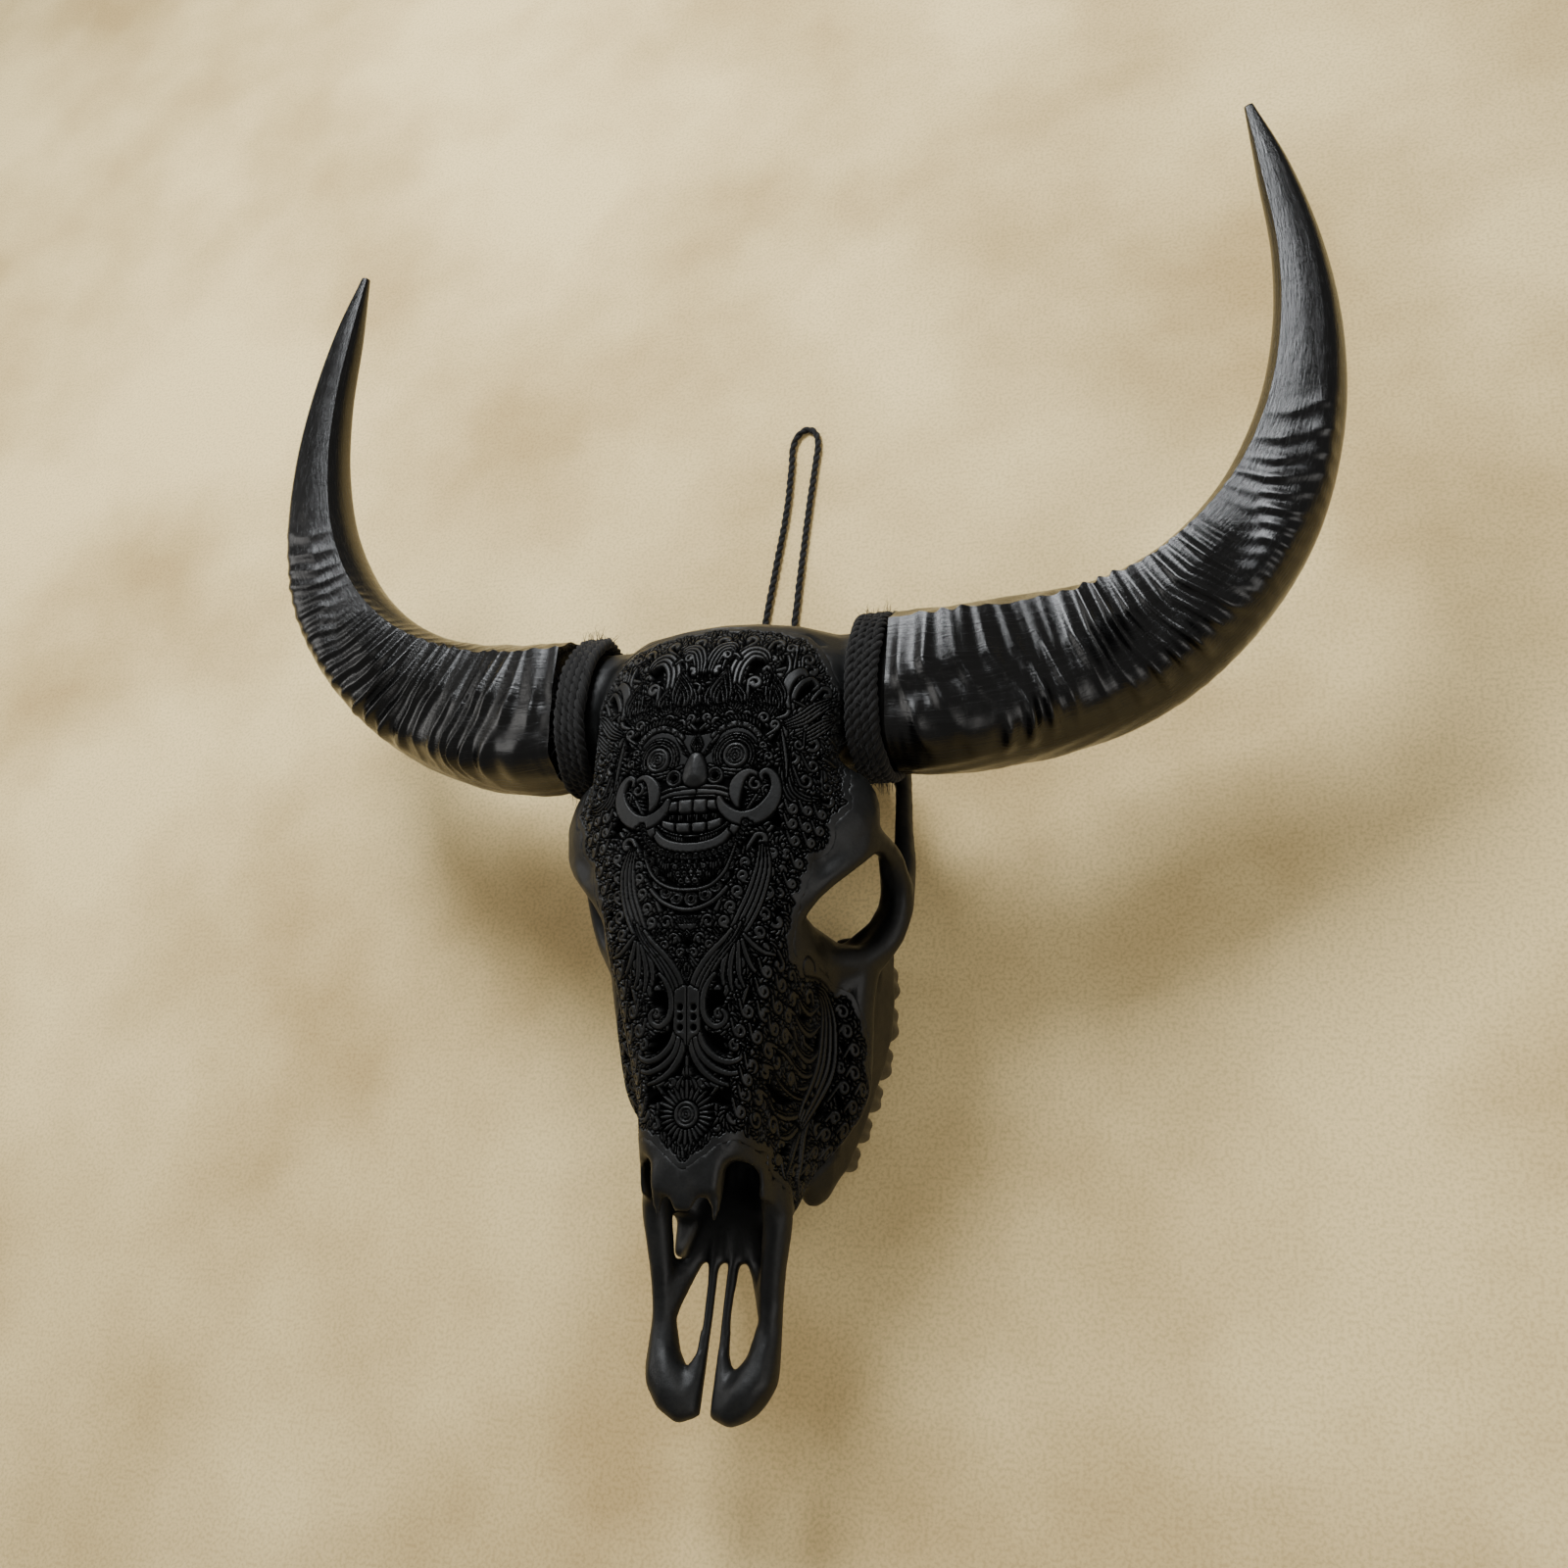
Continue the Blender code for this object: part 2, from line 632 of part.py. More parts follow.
def build_horn(side, name, parts, material):
    """A loft along the horn's middle line, its flat ridged face turned to the front."""
    base = ROPE_START[side] + ROPE_TURNS * ROPE_SPACING + FIT_GAP
    line = smooth_line([(base, *HORN_LINE[0][1:]), *HORN_LINE[1:]], HORN_STATIONS)
    places = [Vector(row[:3]) for row in line]
    rings = []
    for i, row in enumerate(line):
        before = places[max(i - 1, 0)]
        after = places[min(i + 1, len(places) - 1)]
        along = (after - before).normalized()
        if i == 0:
            along = Vector((1.0, 0.0, 0.0))
        front = Vector(HORN_FRONT)
        front = (front - along * front.dot(along)).normalized()
        up = front.cross(along)
        share = i / (len(line) - 1)
        ring = []
        for tall, deep in HORN_CORNERS:
            lift = ridge(share, BACK_RIDGE + (1 - BACK_RIDGE) * max(deep, 0.0))
            point = places[i] + up * tall * (row[3] + lift) + front * deep * (row[4] + lift)
            ring.append((point.x * side, point.y, point.z))
        rings.append(ring)
    bm = loft(rings)
    mesh = bpy.data.meshes.new(name)
    bm.to_mesh(mesh)
    bm.free()
    horn = new_object(name, mesh, parts, material)
    shade(horn.data)


def turned_band(name, profile, side, collection, material=None):
    """A profile (share of the half sizes, distance out) turned round the horn core."""
    mesh = bpy.data.meshes.new(name)
    bm = bmesh.new()
    points = [bm.verts.new((radius, 0.0, height)) for radius, height in profile]
    for a, b in zip(points, points[1:] + points[:1]):
        if a.co.x > 0.0 or b.co.x > 0.0:
            bm.edges.new((a, b))
    bm.to_mesh(mesh)
    bm.free()
    band = new_object(name, mesh, collection, material)
    screw = band.modifiers.new("turn", "SCREW")
    screw.angle = math.tau
    screw.steps = ROPE_STEPS
    screw.render_steps = ROPE_STEPS
    screw.use_merge_vertices = True
    screw.merge_threshold = 0.0001
    replace_mesh(band, evaluated_mesh(band))
    # The ring's own x, y and z become the skull's y, z and x.
    place = Matrix((
        (0.0, 0.0, side, ROPE_START[side] * side),
        (ROPE_HALF_HEIGHT, 0.0, 0.0, ROPE_CENTRE[0]),
        (0.0, ROPE_HALF_DEPTH, 0.0, ROPE_CENTRE[1]),
        (0.0, 0.0, 0.0, 1.0),
    ))
    band.data.transform(place)
    bm = bmesh.new()
    bm.from_mesh(band.data)
    bmesh.ops.remove_doubles(bm, verts=bm.verts, dist=0.00001)
    bmesh.ops.recalc_face_normals(bm, faces=bm.faces)
    bm.to_mesh(band.data)
    bm.free()
    return band


def lashing_seat(side, name, cutters):
    """The space of the lashing and of the horn's foot, kept clear of bone."""
    end = ROPE_TURNS * ROPE_SPACING
    profile = (
        (0.0, end),
        (SEAT_SHARE, end),
        (SEAT_SHARE, -FIT_GAP),
        (SEAT_OUTER_SHARE, -FIT_GAP),
        (SEAT_OUTER_SHARE, end + SEAT_BEYOND),
        (0.0, end + SEAT_BEYOND),
    )
    seat = turned_band(name, profile, side, cutters)
    seat.hide_render = True
    seat.display_type = "WIRE"
    return seat


def build_rope(side, name, parts, material):
    """Four turns of rope as one ring with a groove between each two turns."""
    end = ROPE_TURNS * ROPE_SPACING
    groove = 1.0 - ROPE_BITE
    profile = [(ROPE_INNER_SHARE, end), (ROPE_INNER_SHARE, 0.0), (groove, 0.0)]
    for turn in range(ROPE_TURNS):
        profile.append((1.0, (turn + 0.28) * ROPE_SPACING))
        profile.append((1.0, (turn + 0.72) * ROPE_SPACING))
        profile.append((groove, (turn + 1.0) * ROPE_SPACING))
    rope = turned_band(name, profile, side, parts, material)
    shade(rope.data)


def build_cord(parts, material):
    data = bpy.data.curves.new("hanging_cord", "CURVE")
    data.dimensions = "3D"
    data.bevel_depth = CORD_DIAMETER / 2
    data.bevel_resolution = CORD_BEVEL
    data.use_fill_caps = True
    line = smooth_line(CORD_ROUTE, CORD_POINTS)
    spline = data.splines.new("POLY")
    spline.points.add(len(line) - 1)
    for point, place in zip(spline.points, line):
        point.co = (*place, 1.0)
    cord = bpy.data.objects.new("hanging_cord", data)
    data.materials.append(material)
    cord.location.y = FRAME_SHIFT
    parts.objects.link(cord)


def main():
    clear_scene()
    parts = new_collection("carved_buffalo_skull")
    cutters = new_collection("cutters")
    bone = new_material("stained_bone", (0.020, 0.020, 0.021), 0.62)
    horn = new_material("black_horn", (0.016, 0.017, 0.019), 0.34)
    enamel = new_material("stained_enamel", (0.030, 0.029, 0.028), 0.45)
    fibre = new_material("black_fibre", (0.012, 0.012, 0.012), 0.92)
    build_skull(parts, cutters, bone)
    build_teeth(parts, enamel)
    build_horn(1, "horn_right", parts, horn)
    build_horn(-1, "horn_left", parts, horn)
    build_rope(1, "horn_rope_right", parts, fibre)
    build_rope(-1, "horn_rope_left", parts, fibre)
    build_cord(parts, fibre)


main()
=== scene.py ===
# %% [markdown]
# A buffalo skull that a carver has cut into lacework and then stained black. It hangs on a wall in use and
# lies on its cheek teeth here, forehead up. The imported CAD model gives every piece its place: it is loaded
# first, as a frame that stays as it is, and each piece below is made round it, in metres.

# %% The frame
import math

import bpy
import numpy as np
from mathutils import Matrix, Vector
from mathutils.bvhtree import BVHTree


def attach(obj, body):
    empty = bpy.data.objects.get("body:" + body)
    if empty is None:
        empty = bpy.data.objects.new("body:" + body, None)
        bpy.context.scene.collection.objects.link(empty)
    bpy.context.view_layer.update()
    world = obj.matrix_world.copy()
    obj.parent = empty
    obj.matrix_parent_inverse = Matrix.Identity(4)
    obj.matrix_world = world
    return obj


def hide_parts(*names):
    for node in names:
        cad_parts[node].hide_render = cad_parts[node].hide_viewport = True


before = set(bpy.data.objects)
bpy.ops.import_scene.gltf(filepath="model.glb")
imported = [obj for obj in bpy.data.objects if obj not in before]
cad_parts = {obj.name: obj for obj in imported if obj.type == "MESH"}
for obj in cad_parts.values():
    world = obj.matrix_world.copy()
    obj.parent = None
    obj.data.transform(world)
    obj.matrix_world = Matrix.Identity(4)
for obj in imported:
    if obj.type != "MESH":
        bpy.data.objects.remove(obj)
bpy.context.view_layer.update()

FRAME_SHIFT = 0.0035  # metres in Y from the drawing's zero to the frame's


# %% Small helpers
def select_only(*objects):
    bpy.ops.object.select_all(action="DESELECT")
    for obj in objects:
        obj.select_set(True)
    bpy.context.view_layer.objects.active = objects[0]


def apply_modifiers(obj):
    select_only(obj)
    for modifier in list(obj.modifiers):
        bpy.ops.object.modifier_apply(modifier=modifier.name)


def mesh_object(name, points, faces):
    """An object with a mesh of its own, its place in its points."""
    mesh = bpy.data.meshes.new(name)
    mesh.from_pydata([tuple(p) for p in points], [], [tuple(f) for f in faces])
    mesh.update()
    obj = bpy.data.objects.new(name, mesh)
    bpy.context.scene.collection.objects.link(obj)
    return obj


def get_points(obj):
    points = np.zeros(len(obj.data.vertices) * 3)
    obj.data.vertices.foreach_get("co", points)
    return points.reshape(-1, 3)


def set_points(obj, points):
    obj.data.vertices.foreach_set("co", np.ascontiguousarray(points, float).ravel())
    obj.data.update()


def set_attribute(obj, name, values):
    layer = obj.data.attributes.new(name, "FLOAT", "POINT")
    layer.data.foreach_set("value", np.ascontiguousarray(values, np.float32))


def finish_piece(obj, material, slot, *nodes):
    """Material, slot (not used), the body it rides on and the CAD nodes that it stands for."""
    obj.data.materials.clear()
    obj.data.materials.append(material)
    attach(obj, "root")
    if nodes:
        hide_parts(*nodes)
    obj.data.calc_loop_triangles()
    print(obj.name, len(obj.data.loop_triangles), "triangles")


def face_outwards(obj):
    """Turns all the faces of an object to the outside."""
    select_only(obj)
    bpy.ops.object.mode_set(mode="EDIT")
    bpy.ops.mesh.select_all(action="SELECT")
    bpy.ops.mesh.normals_make_consistent(inside=False)
    bpy.ops.object.mode_set(mode="OBJECT")


def unit(rows):
    """Directions of length one."""
    return rows / np.linalg.norm(rows, axis=-1)[..., None]


def spline(rows, steps):
    """A smooth line through rows of numbers, with some steps from each row to the next."""
    ends = np.vstack([2 * rows[:1] - rows[1:2], rows, 2 * rows[-1:] - rows[-2:-1]])
    fine = []
    for a, b, c, d in zip(ends, ends[1:], ends[2:], ends[3:]):
        for k in np.arange(steps) / steps:
            fine.append(0.5 * (2 * b + (c - a) * k + (2 * a - 5 * b + 4 * c - d) * k * k
                               + (3 * b - a - 3 * c + d) * k ** 3))
    fine.append(rows[-1])
    return np.array(fine)


LINE_STEPS = 24  # steps of a smooth line before it is measured off evenly


def smooth_line(points, count):
    """Points at even distances along a smooth curve through rows of numbers, x, y and z first."""
    fine = spline(np.array(points, float), LINE_STEPS)
    run = np.concatenate([[0], np.cumsum(np.linalg.norm(np.diff(fine[:, :3], axis=0), axis=1))])
    want = np.linspace(0, run[-1], count)
    return np.stack([np.interp(want, run, fine[:, k]) for k in range(fine.shape[1])], 1)


def frames_along(line, start_up):
    """Directions along a line, with two across that turn as little as they can."""
    along = unit(np.gradient(line, axis=0))
    across = []
    side = np.array(start_up, float)
    for direction in along:
        side = side - direction * (side @ direction)
        side /= np.linalg.norm(side)
        across.append(side)
    across = np.array(across)
    return along, across, np.cross(along, across)


def ring_faces(rings, corners):
    """The wall of a tube as faces, ring by ring, and its first end."""
    faces = []
    for i in range(rings - 1):
        for j in range(corners):
            k = (j + 1) % corners
            faces.append((i * corners + j, i * corners + k, (i + 1) * corners + k, (i + 1) * corners + j))
    faces.append(tuple(range(corners - 1, -1, -1)))
    return faces


def tube(line, radii, first, second, corners):
    """Points and faces of a closed tube; radii is one number or a row for each ring."""
    count = len(line)
    angles = np.arange(corners) * math.tau / corners
    radii = np.broadcast_to(np.asarray(radii, float).reshape(-1, 1) if np.ndim(radii) < 2 else radii,
                            (count, corners))
    points = (line[:, None] + first[:, None] * (radii * np.cos(angles))[..., None]
              + second[:, None] * (radii * np.sin(angles))[..., None]).reshape(-1, 3)
    faces = ring_faces(count, corners)
    faces.append(tuple((count - 1) * corners + j for j in range(corners)))
    return points, faces


def joined_tubes(name, tubes):
    """One object from several tubes."""
    points = []
    faces = []
    start = 0
    for tube_points, tube_faces in tubes:
        points.append(tube_points)
        faces += [tuple(start + i for i in face) for face in tube_faces]
        start += len(tube_points)
    return mesh_object(name, np.concatenate(points), faces)


# %% [markdown]
# The photograph looks down on the skull, a little from its right. The camera stands where the lens stood:
# its place and its turn were worked out from the skull's landmarks, and a 36 mm lens gives the same view.

# %% Camera
CAMERA_TARGET = Vector((0.0162, -0.0012, 0.100))
CAMERA_DISTANCE = 1.058
CAMERA_AZIMUTH = math.radians(22.1)
CAMERA_ELEVATION = math.radians(-23.6)
CAMERA_ROLL = math.radians(5.9)
back = Vector((math.sin(CAMERA_AZIMUTH) * math.cos(CAMERA_ELEVATION), math.sin(CAMERA_ELEVATION),
               math.cos(CAMERA_AZIMUTH) * math.cos(CAMERA_ELEVATION)))
level_right = (-back).cross(Vector((0, 1, 0))).normalized()
level_up = level_right.cross(-back)
right = level_right * math.cos(CAMERA_ROLL) + level_up * math.sin(CAMERA_ROLL)
up = level_up * math.cos(CAMERA_ROLL) - level_right * math.sin(CAMERA_ROLL)
bpy.ops.object.camera_add(location=CAMERA_TARGET + back * CAMERA_DISTANCE)
camera = bpy.context.object
camera.rotation_mode = "QUATERNION"
camera.rotation_quaternion = Matrix((right, up, back)).transposed().to_quaternion()
camera.data.lens = 36
camera.data.sensor_width = 36
camera.data.clip_end = 30
bpy.context.scene.camera = camera
print("camera at", [round(v, 3) for v in camera.location])

# %% [markdown]
# A loop of black cord comes out of two holes in the nape, to hang the skull by. The real one is two
# strands of fibre laid round each other. Two thin tubes that wind round one route give the same twist.

# %% Route of the hanging cord
CORD_ROUTE = (
    (-0.0440, 0.0670, 0.0880), (-0.0440, 0.0760, 0.0880), (-0.0441, 0.0850, 0.0878),
    (-0.0446, 0.0960, 0.0840), (-0.0458, 0.1060, 0.0730), (-0.0474, 0.1140, 0.0570),
    (-0.0490, 0.1210, 0.0390), (-0.0506, 0.1310, 0.0210), (-0.0518, 0.1460, 0.0085),
    (-0.0526, 0.1640, 0.0040), (-0.0528, 0.1850, 0.0030), (-0.0495, 0.2300, 0.0030),
    (-0.0455, 0.2850, 0.0030), (-0.0455, 0.3300, 0.0030), (-0.0462, 0.3480, 0.0030),
    (-0.0430, 0.3600, 0.0030), (-0.0350, 0.3655, 0.0030), (-0.0270, 0.3605, 0.0030),
    (-0.0240, 0.3480, 0.0030), (-0.0245, 0.3300, 0.0030), (-0.0262, 0.2850, 0.0030),
    (-0.0275, 0.2300, 0.0030), (-0.0282, 0.1850, 0.0030), (-0.0284, 0.1640, 0.0040),
    (-0.0286, 0.1460, 0.0085), (-0.0289, 0.1310, 0.0210), (-0.0293, 0.1210, 0.0390),
    (-0.0297, 0.1140, 0.0570), (-0.0300, 0.1060, 0.0730), (-0.0300, 0.0960, 0.0840),
    (-0.0300, 0.0850, 0.0878), (-0.0300, 0.0760, 0.0880), (-0.0300, 0.0670, 0.0880),
)
CORD_STEPS = 640
cord_line = smooth_line(CORD_ROUTE, CORD_STEPS)
cord_line[:, 1] += FRAME_SHIFT
cord_length = float(np.linalg.norm(np.diff(cord_line, axis=0), axis=1).sum())
print("cord length", round(cord_length, 4))

# %% Two strands laid round each other
STRAND_RADIUS = 0.00183
STRAND_OFFSET = 0.0010  # soft strands sink a little into each other
STRAND_TURN = 0.0155  # metres of cord for one turn of a strand
STRAND_CORNERS = 9
STRAND_LUMP = 0.09  # share of the radius by which a strand swells and shrinks
LUMPS_TO_TURN = 2.3
LUMP_SWELL = 310  # radians to the metre of the slower wave that makes the lumps uneven
along, first, second = frames_along(cord_line, (0, 0, 1))
run = np.linspace(0, cord_length, CORD_STEPS)
strands = []
for number in range(2):
    angle = math.tau * (run / STRAND_TURN + number / 2)
    middle = cord_line + STRAND_OFFSET * (first * np.cos(angle)[:, None]
                                          + second * np.sin(angle)[:, None])
    _, strand_first, strand_second = frames_along(middle, (0, 0, 1))
    lumps = 1 + (STRAND_LUMP * np.sin(math.tau * run / STRAND_TURN * LUMPS_TO_TURN + number)
                 * np.sin(run * LUMP_SWELL + 2 * number))
    strands.append(tube(middle, STRAND_RADIUS * lumps[:, None] * np.ones(STRAND_CORNERS), strand_first,
                        strand_second, STRAND_CORNERS))
cord = joined_tubes("hanging_cord_twist", strands)
select_only(cord)
bpy.ops.object.shade_smooth()

# %% [markdown]
# The floor is plain and pale, and the light is that of a room with a window: one bright source beyond the
# skull's crown, a weak one at its left, another at the right of its muzzle, and a pale surround.

# %% Floor and light
FLOOR_WIDTH = 8
ROOM_STRENGTH = 0.30
LIGHTS = (
    # name, place, width, power in watts, colour
    ("window_light", (-0.50, 1.30, 1.55), 0.75, 56, (0.94, 0.97, 1.0)),
    ("side_light", (-1.5, 0.2, 1.0), 0.7, 7, (1.0, 0.98, 0.95)),
    ("front_light", (1.3, -0.6, 1.2), 1.0, 10, (1.0, 0.97, 0.93)),
)
bpy.ops.mesh.primitive_plane_add(size=FLOOR_WIDTH, location=(0, 0, 0))
floor = bpy.context.object
floor.name = "floor"
for name, place, width, power, colour in LIGHTS:
    bpy.ops.object.light_add(type="AREA", location=place)
    lamp = bpy.context.object
    lamp.name = name
    lamp.data.size = width
    lamp.data.energy = power
    lamp.data.color = colour
    lamp.rotation_euler = (CAMERA_TARGET - Vector(place)).to_track_quat("-Z", "Y").to_euler()
world = bpy.data.worlds.new("room")
world.use_nodes = True
world.node_tree.nodes["Background"].inputs["Color"].default_value = (1.0, 0.97, 0.92, 1)
world.node_tree.nodes["Background"].inputs["Strength"].default_value = ROOM_STRENGTH
bpy.context.scene.world = world
print("lights set")

# %% [markdown]
# Finishes. All of the skull is stained black, but each material takes the stain in its own way: bone stays
# matt and a little chalky, with painted shade in its cuts, horn is waxy and shows its fibres, rope is dull
# and hairy. Every finish starts from a plain surface shader, and small patterns in real millimetres are
# added to it.


# %% Helpers for all the finishes
def linear(code):
    """A hex colour as the linear values that a shader takes."""
    values = [int(code[i:i + 2], 16) / 255 for i in (1, 3, 5)]
    return [v / 12.92 if v <= 0.04045 else ((v + 0.055) / 1.055) ** 2.4 for v in values] + [1.0]


def node(tree, kind, inputs=None, links=None, **settings):
    """Adds a node with its settings, the values of its sockets and its links."""
    made = tree.nodes.new(kind)
    for name, value in settings.items():
        setattr(made, name, value)
    for name, value in (inputs or {}).items():
        made.inputs[name].default_value = value
    for name, socket in (links or {}).items():
        tree.links.new(socket, made.inputs[name])
    return made


def new_finish(name):
    """An empty material: its tree, its shader and the object's coordinates."""
    material = bpy.data.materials.new(name)
    material.use_nodes = True
    tree = material.node_tree
    shader = tree.nodes["Principled BSDF"]
    place = tree.nodes.new("ShaderNodeTexCoord").outputs["Object"]
    return material, tree, shader, place


def ramp(tree, factor, stops):
    """A colour ramp with its stops as (place, colour)."""
    made = tree.nodes.new("ShaderNodeValToRGB")
    points = made.color_ramp.elements
    points[0].position, points[0].color = stops[0]
    points[1].position, points[1].color = stops[1]
    for position, colour in stops[2:]:
        point = points.new(position)
        point.color = colour
    tree.links.new(factor, made.inputs["Fac"])
    return made.outputs["Color"]


def noise(tree, vector, scale, detail, **inputs):
    """Cloudy noise, its scale in waves to a metre."""
    values = {"Scale": scale, "Detail": detail, **inputs}
    return node(tree, "ShaderNodeTexNoise", values, {"Vector": vector}).outputs["Fac"]


def rescaled(tree, value, low, high, to_low, to_high):
    """A value from one range brought to another."""
    ends = {"From Min": low, "From Max": high, "To Min": to_low, "To Max": to_high}
    return node(tree, "ShaderNodeMapRange", ends, {"Value": value}).outputs["Result"]


def multiplied(tree, factor, first, second):
    """Two colours multiplied, as far as the factor says."""
    made = node(tree, "ShaderNodeMix", {"Factor": factor}, {"A": first, "B": second}, data_type="RGBA",
                blend_type="MULTIPLY")
    return made.outputs["Result"]


def add_bump(tree, shader, height, strength, distance):
    """Small unevenness of the surface, its height in metres."""
    made = node(tree, "ShaderNodeBump", {"Strength": strength, "Distance": distance}, {"Height": height})
    tree.links.new(made.outputs["Normal"], shader.inputs["Normal"])


# %% [markdown]
# The floor is a sheet of warm plaster: pale and matt, with clouds of tone a hand wide and grains of sand.

# %% Plaster floor
CLOUDS_TO_METRE = 3.5
SAND_TO_METRE = 420.0
plaster, tree, shader, place = new_finish("trowelled_plaster")
clouds = noise(tree, place, CLOUDS_TO_METRE, 5.0)
tone = ramp(tree, clouds, [(0.34, linear("#c6a970")), (0.60, linear("#fbe0a0"))])
sand = noise(tree, place, SAND_TO_METRE, 3.0)
sand_tone = ramp(tree, sand, [(0.36, (0.80, 0.79, 0.77, 1)), (0.56, (1, 1, 1, 1))])
tree.links.new(multiplied(tree, 1.0, tone, sand_tone), shader.inputs["Base Color"])
shader.inputs["Roughness"].default_value = 0.85
floor.data.materials.append(plaster)

# %% [markdown]
# Stained bone, cut with gouges and brushed with a matt black stain. Bone is a dry, fine-pored solid, so it
# scatters light softly and never mirrors. The cuts are painted darker the deeper they go, and shine less
# there: painted shade in the recesses. The tops of the strands keep the bone's own clouded tone, with some
# brown.

# %% Stained bone
PORE_SIZE = 0.0009
CLOUD_SIZE = 0.03
GRAIN_TO_METRE = 260.0
GRAIN_HEIGHT = 0.0006
bone, tree, shader, place = new_finish("black_stained_carved_bone")
# cut_depth says how much painted shade each point takes, in the cuts and the holes
cut_depth = node(tree, "ShaderNodeAttribute", attribute_name="cut_depth").outputs["Fac"]
clouds = noise(tree, place, 1 / CLOUD_SIZE, 6.0, Roughness=0.6)
pores = noise(tree, place, 0.35 / PORE_SIZE, 4.0, Roughness=0.65)
top_tone = ramp(tree, clouds, [(0.3, linear("#0a0b0b")), (0.55, linear("#121313")),
                               (0.75, linear("#1b1a17"))])
spots = ramp(tree, pores, [(0.36, (0.55, 0.55, 0.55, 1)), (0.52, (1, 1, 1, 1))])
# painted shade: the colour goes to near black with the depth of the cut, and the shine drops with it
tone_with_painted_cut_shade = node(tree, "ShaderNodeMix", {"Factor": 0.5}, {"Factor": cut_depth}, data_type="RGBA")
tree.links.new(multiplied(tree, 0.8, top_tone, spots), tone_with_painted_cut_shade.inputs["A"])
tone_with_painted_cut_shade.inputs["B"].default_value = linear("#030303")
tree.links.new(tone_with_painted_cut_shade.outputs["Result"], shader.inputs["Base Color"])
gloss = rescaled(tree, clouds, 0.3, 0.7, 0.36, 0.56)
dull = node(tree, "ShaderNodeMath", {1: 0.6}, {0: cut_depth, 2: gloss}, operation="MULTIPLY_ADD",
            use_clamp=True)
tree.links.new(dull.outputs["Value"], shader.inputs["Roughness"])
tree.links.new(rescaled(tree, cut_depth, 0.0, 1.0, 0.27, 0.05), shader.inputs["Specular IOR Level"])
add_bump(tree, shader, noise(tree, place, GRAIN_TO_METRE, 5.0, Roughness=0.7), 0.35, GRAIN_HEIGHT)
shader.inputs["IOR"].default_value = 1.5
print(bone.name)

# %% [markdown]
# Horn is keratin: hair-like fibres laid along its length, waxy, and here blackened and buffed. The fibres
# catch the light as fine streaks along the horn, so the pattern is stretched along the horn's own length,
# which each point carries as an attribute.

# %% Buffed horn
PATCHES_TO_METRE = 60.0
FIBRE_HEIGHT = 0.0007
horn_finish, tree, shader, place = new_finish("black_buffed_buffalo_horn")
along_horn = node(tree, "ShaderNodeAttribute", attribute_name="fibre").outputs["Vector"]
streaks = noise(tree, along_horn, 1.0, 6.0, Roughness=0.7)
patches = noise(tree, place, PATCHES_TO_METRE, 3.0, Roughness=0.55)
tone = ramp(tree, streaks, [(0.35, linear("#030303")), (0.55, linear("#060606")),
                            (0.75, linear("#101112"))])
tree.links.new(tone, shader.inputs["Base Color"])
tree.links.new(rescaled(tree, streaks, 0.35, 0.65, 0.15, 0.30), shader.inputs["Roughness"])
both_scales = node(tree, "ShaderNodeMath", {1: 0.8}, {0: patches}, operation="MULTIPLY_ADD")
tree.links.new(streaks, both_scales.inputs[2])
add_bump(tree, shader, both_scales.outputs["Value"], 0.45, FIBRE_HEIGHT)
shader.inputs["IOR"].default_value = 1.54
shader.inputs["Specular IOR Level"].default_value = 0.34
print(horn_finish.name)

# %% [markdown]
# Rope and cord are plant fibre soaked in the same black, dull and hairy. Fibres run along each strand, so
# short dark and light hairs are drawn along it, and a little sheen stands for the loose ones.


# %% Blackened fibre
HAIR_HEIGHT = 0.0005


def fibre_finish(name, dark, light):
    material, tree, shader, _ = new_finish(name)
    along_strand = node(tree, "ShaderNodeAttribute", attribute_name="fibre").outputs["Vector"]
    hairs = noise(tree, along_strand, 1.0, 4.0, Roughness=0.7)
    tone = ramp(tree, hairs, [(0.35, linear(dark)), (0.7, linear(light))])
    tree.links.new(tone, shader.inputs["Base Color"])
    add_bump(tree, shader, hairs, 0.8, HAIR_HEIGHT)
    shader.inputs["Roughness"].default_value = 0.85
    shader.inputs["Specular IOR Level"].default_value = 0.3
    shader.inputs["Sheen Weight"].default_value = 0.06
    shader.inputs["Sheen Roughness"].default_value = 0.6
    return material


rope_finish = fibre_finish("black_twisted_fibre_rope", "#020202", "#141312")
cord_finish = fibre_finish("black_laid_cord", "#040404", "#151517")


def set_fibre(obj, values):
    """Coordinates that run along the fibres, three numbers for each point."""
    layer = obj.data.attributes.new("fibre", "FLOAT_VECTOR", "POINT")
    layer.data.foreach_set("vector", np.ascontiguousarray(values, np.float32).ravel())


FIBRE_RUN = 120  # how far the pattern moves along a metre of strand


def strand_fibre(count, corners, length, hair):
    """Fibre coordinates of one strand: round it, and along it far more slowly."""
    swing = np.tile(np.arange(corners) * math.tau / corners, (count, 1))
    run = np.linspace(0, length, count)[:, None]
    return np.stack([np.cos(swing) * hair, np.sin(swing) * hair, np.repeat(run * FIBRE_RUN, corners, 1)],
                    -1).reshape(-1, 3)


CORD_HAIR = 3.0  # how often the hairs change round a strand
CORD_SHIFT = 11  # sets the hairs of the two strands apart
set_fibre(cord, np.concatenate([strand_fibre(CORD_STEPS, STRAND_CORNERS, cord_length, CORD_HAIR)
                                + [number * CORD_SHIFT, 0, 0] for number in range(2)]))
finish_piece(cord, cord_finish, "fibre", "hanging_cord")

# %% [markdown]
# Teeth are enamel folded round softer dentine. Stained black they stay smoother and harder-looking than the
# bone, with dark lines down their folds.

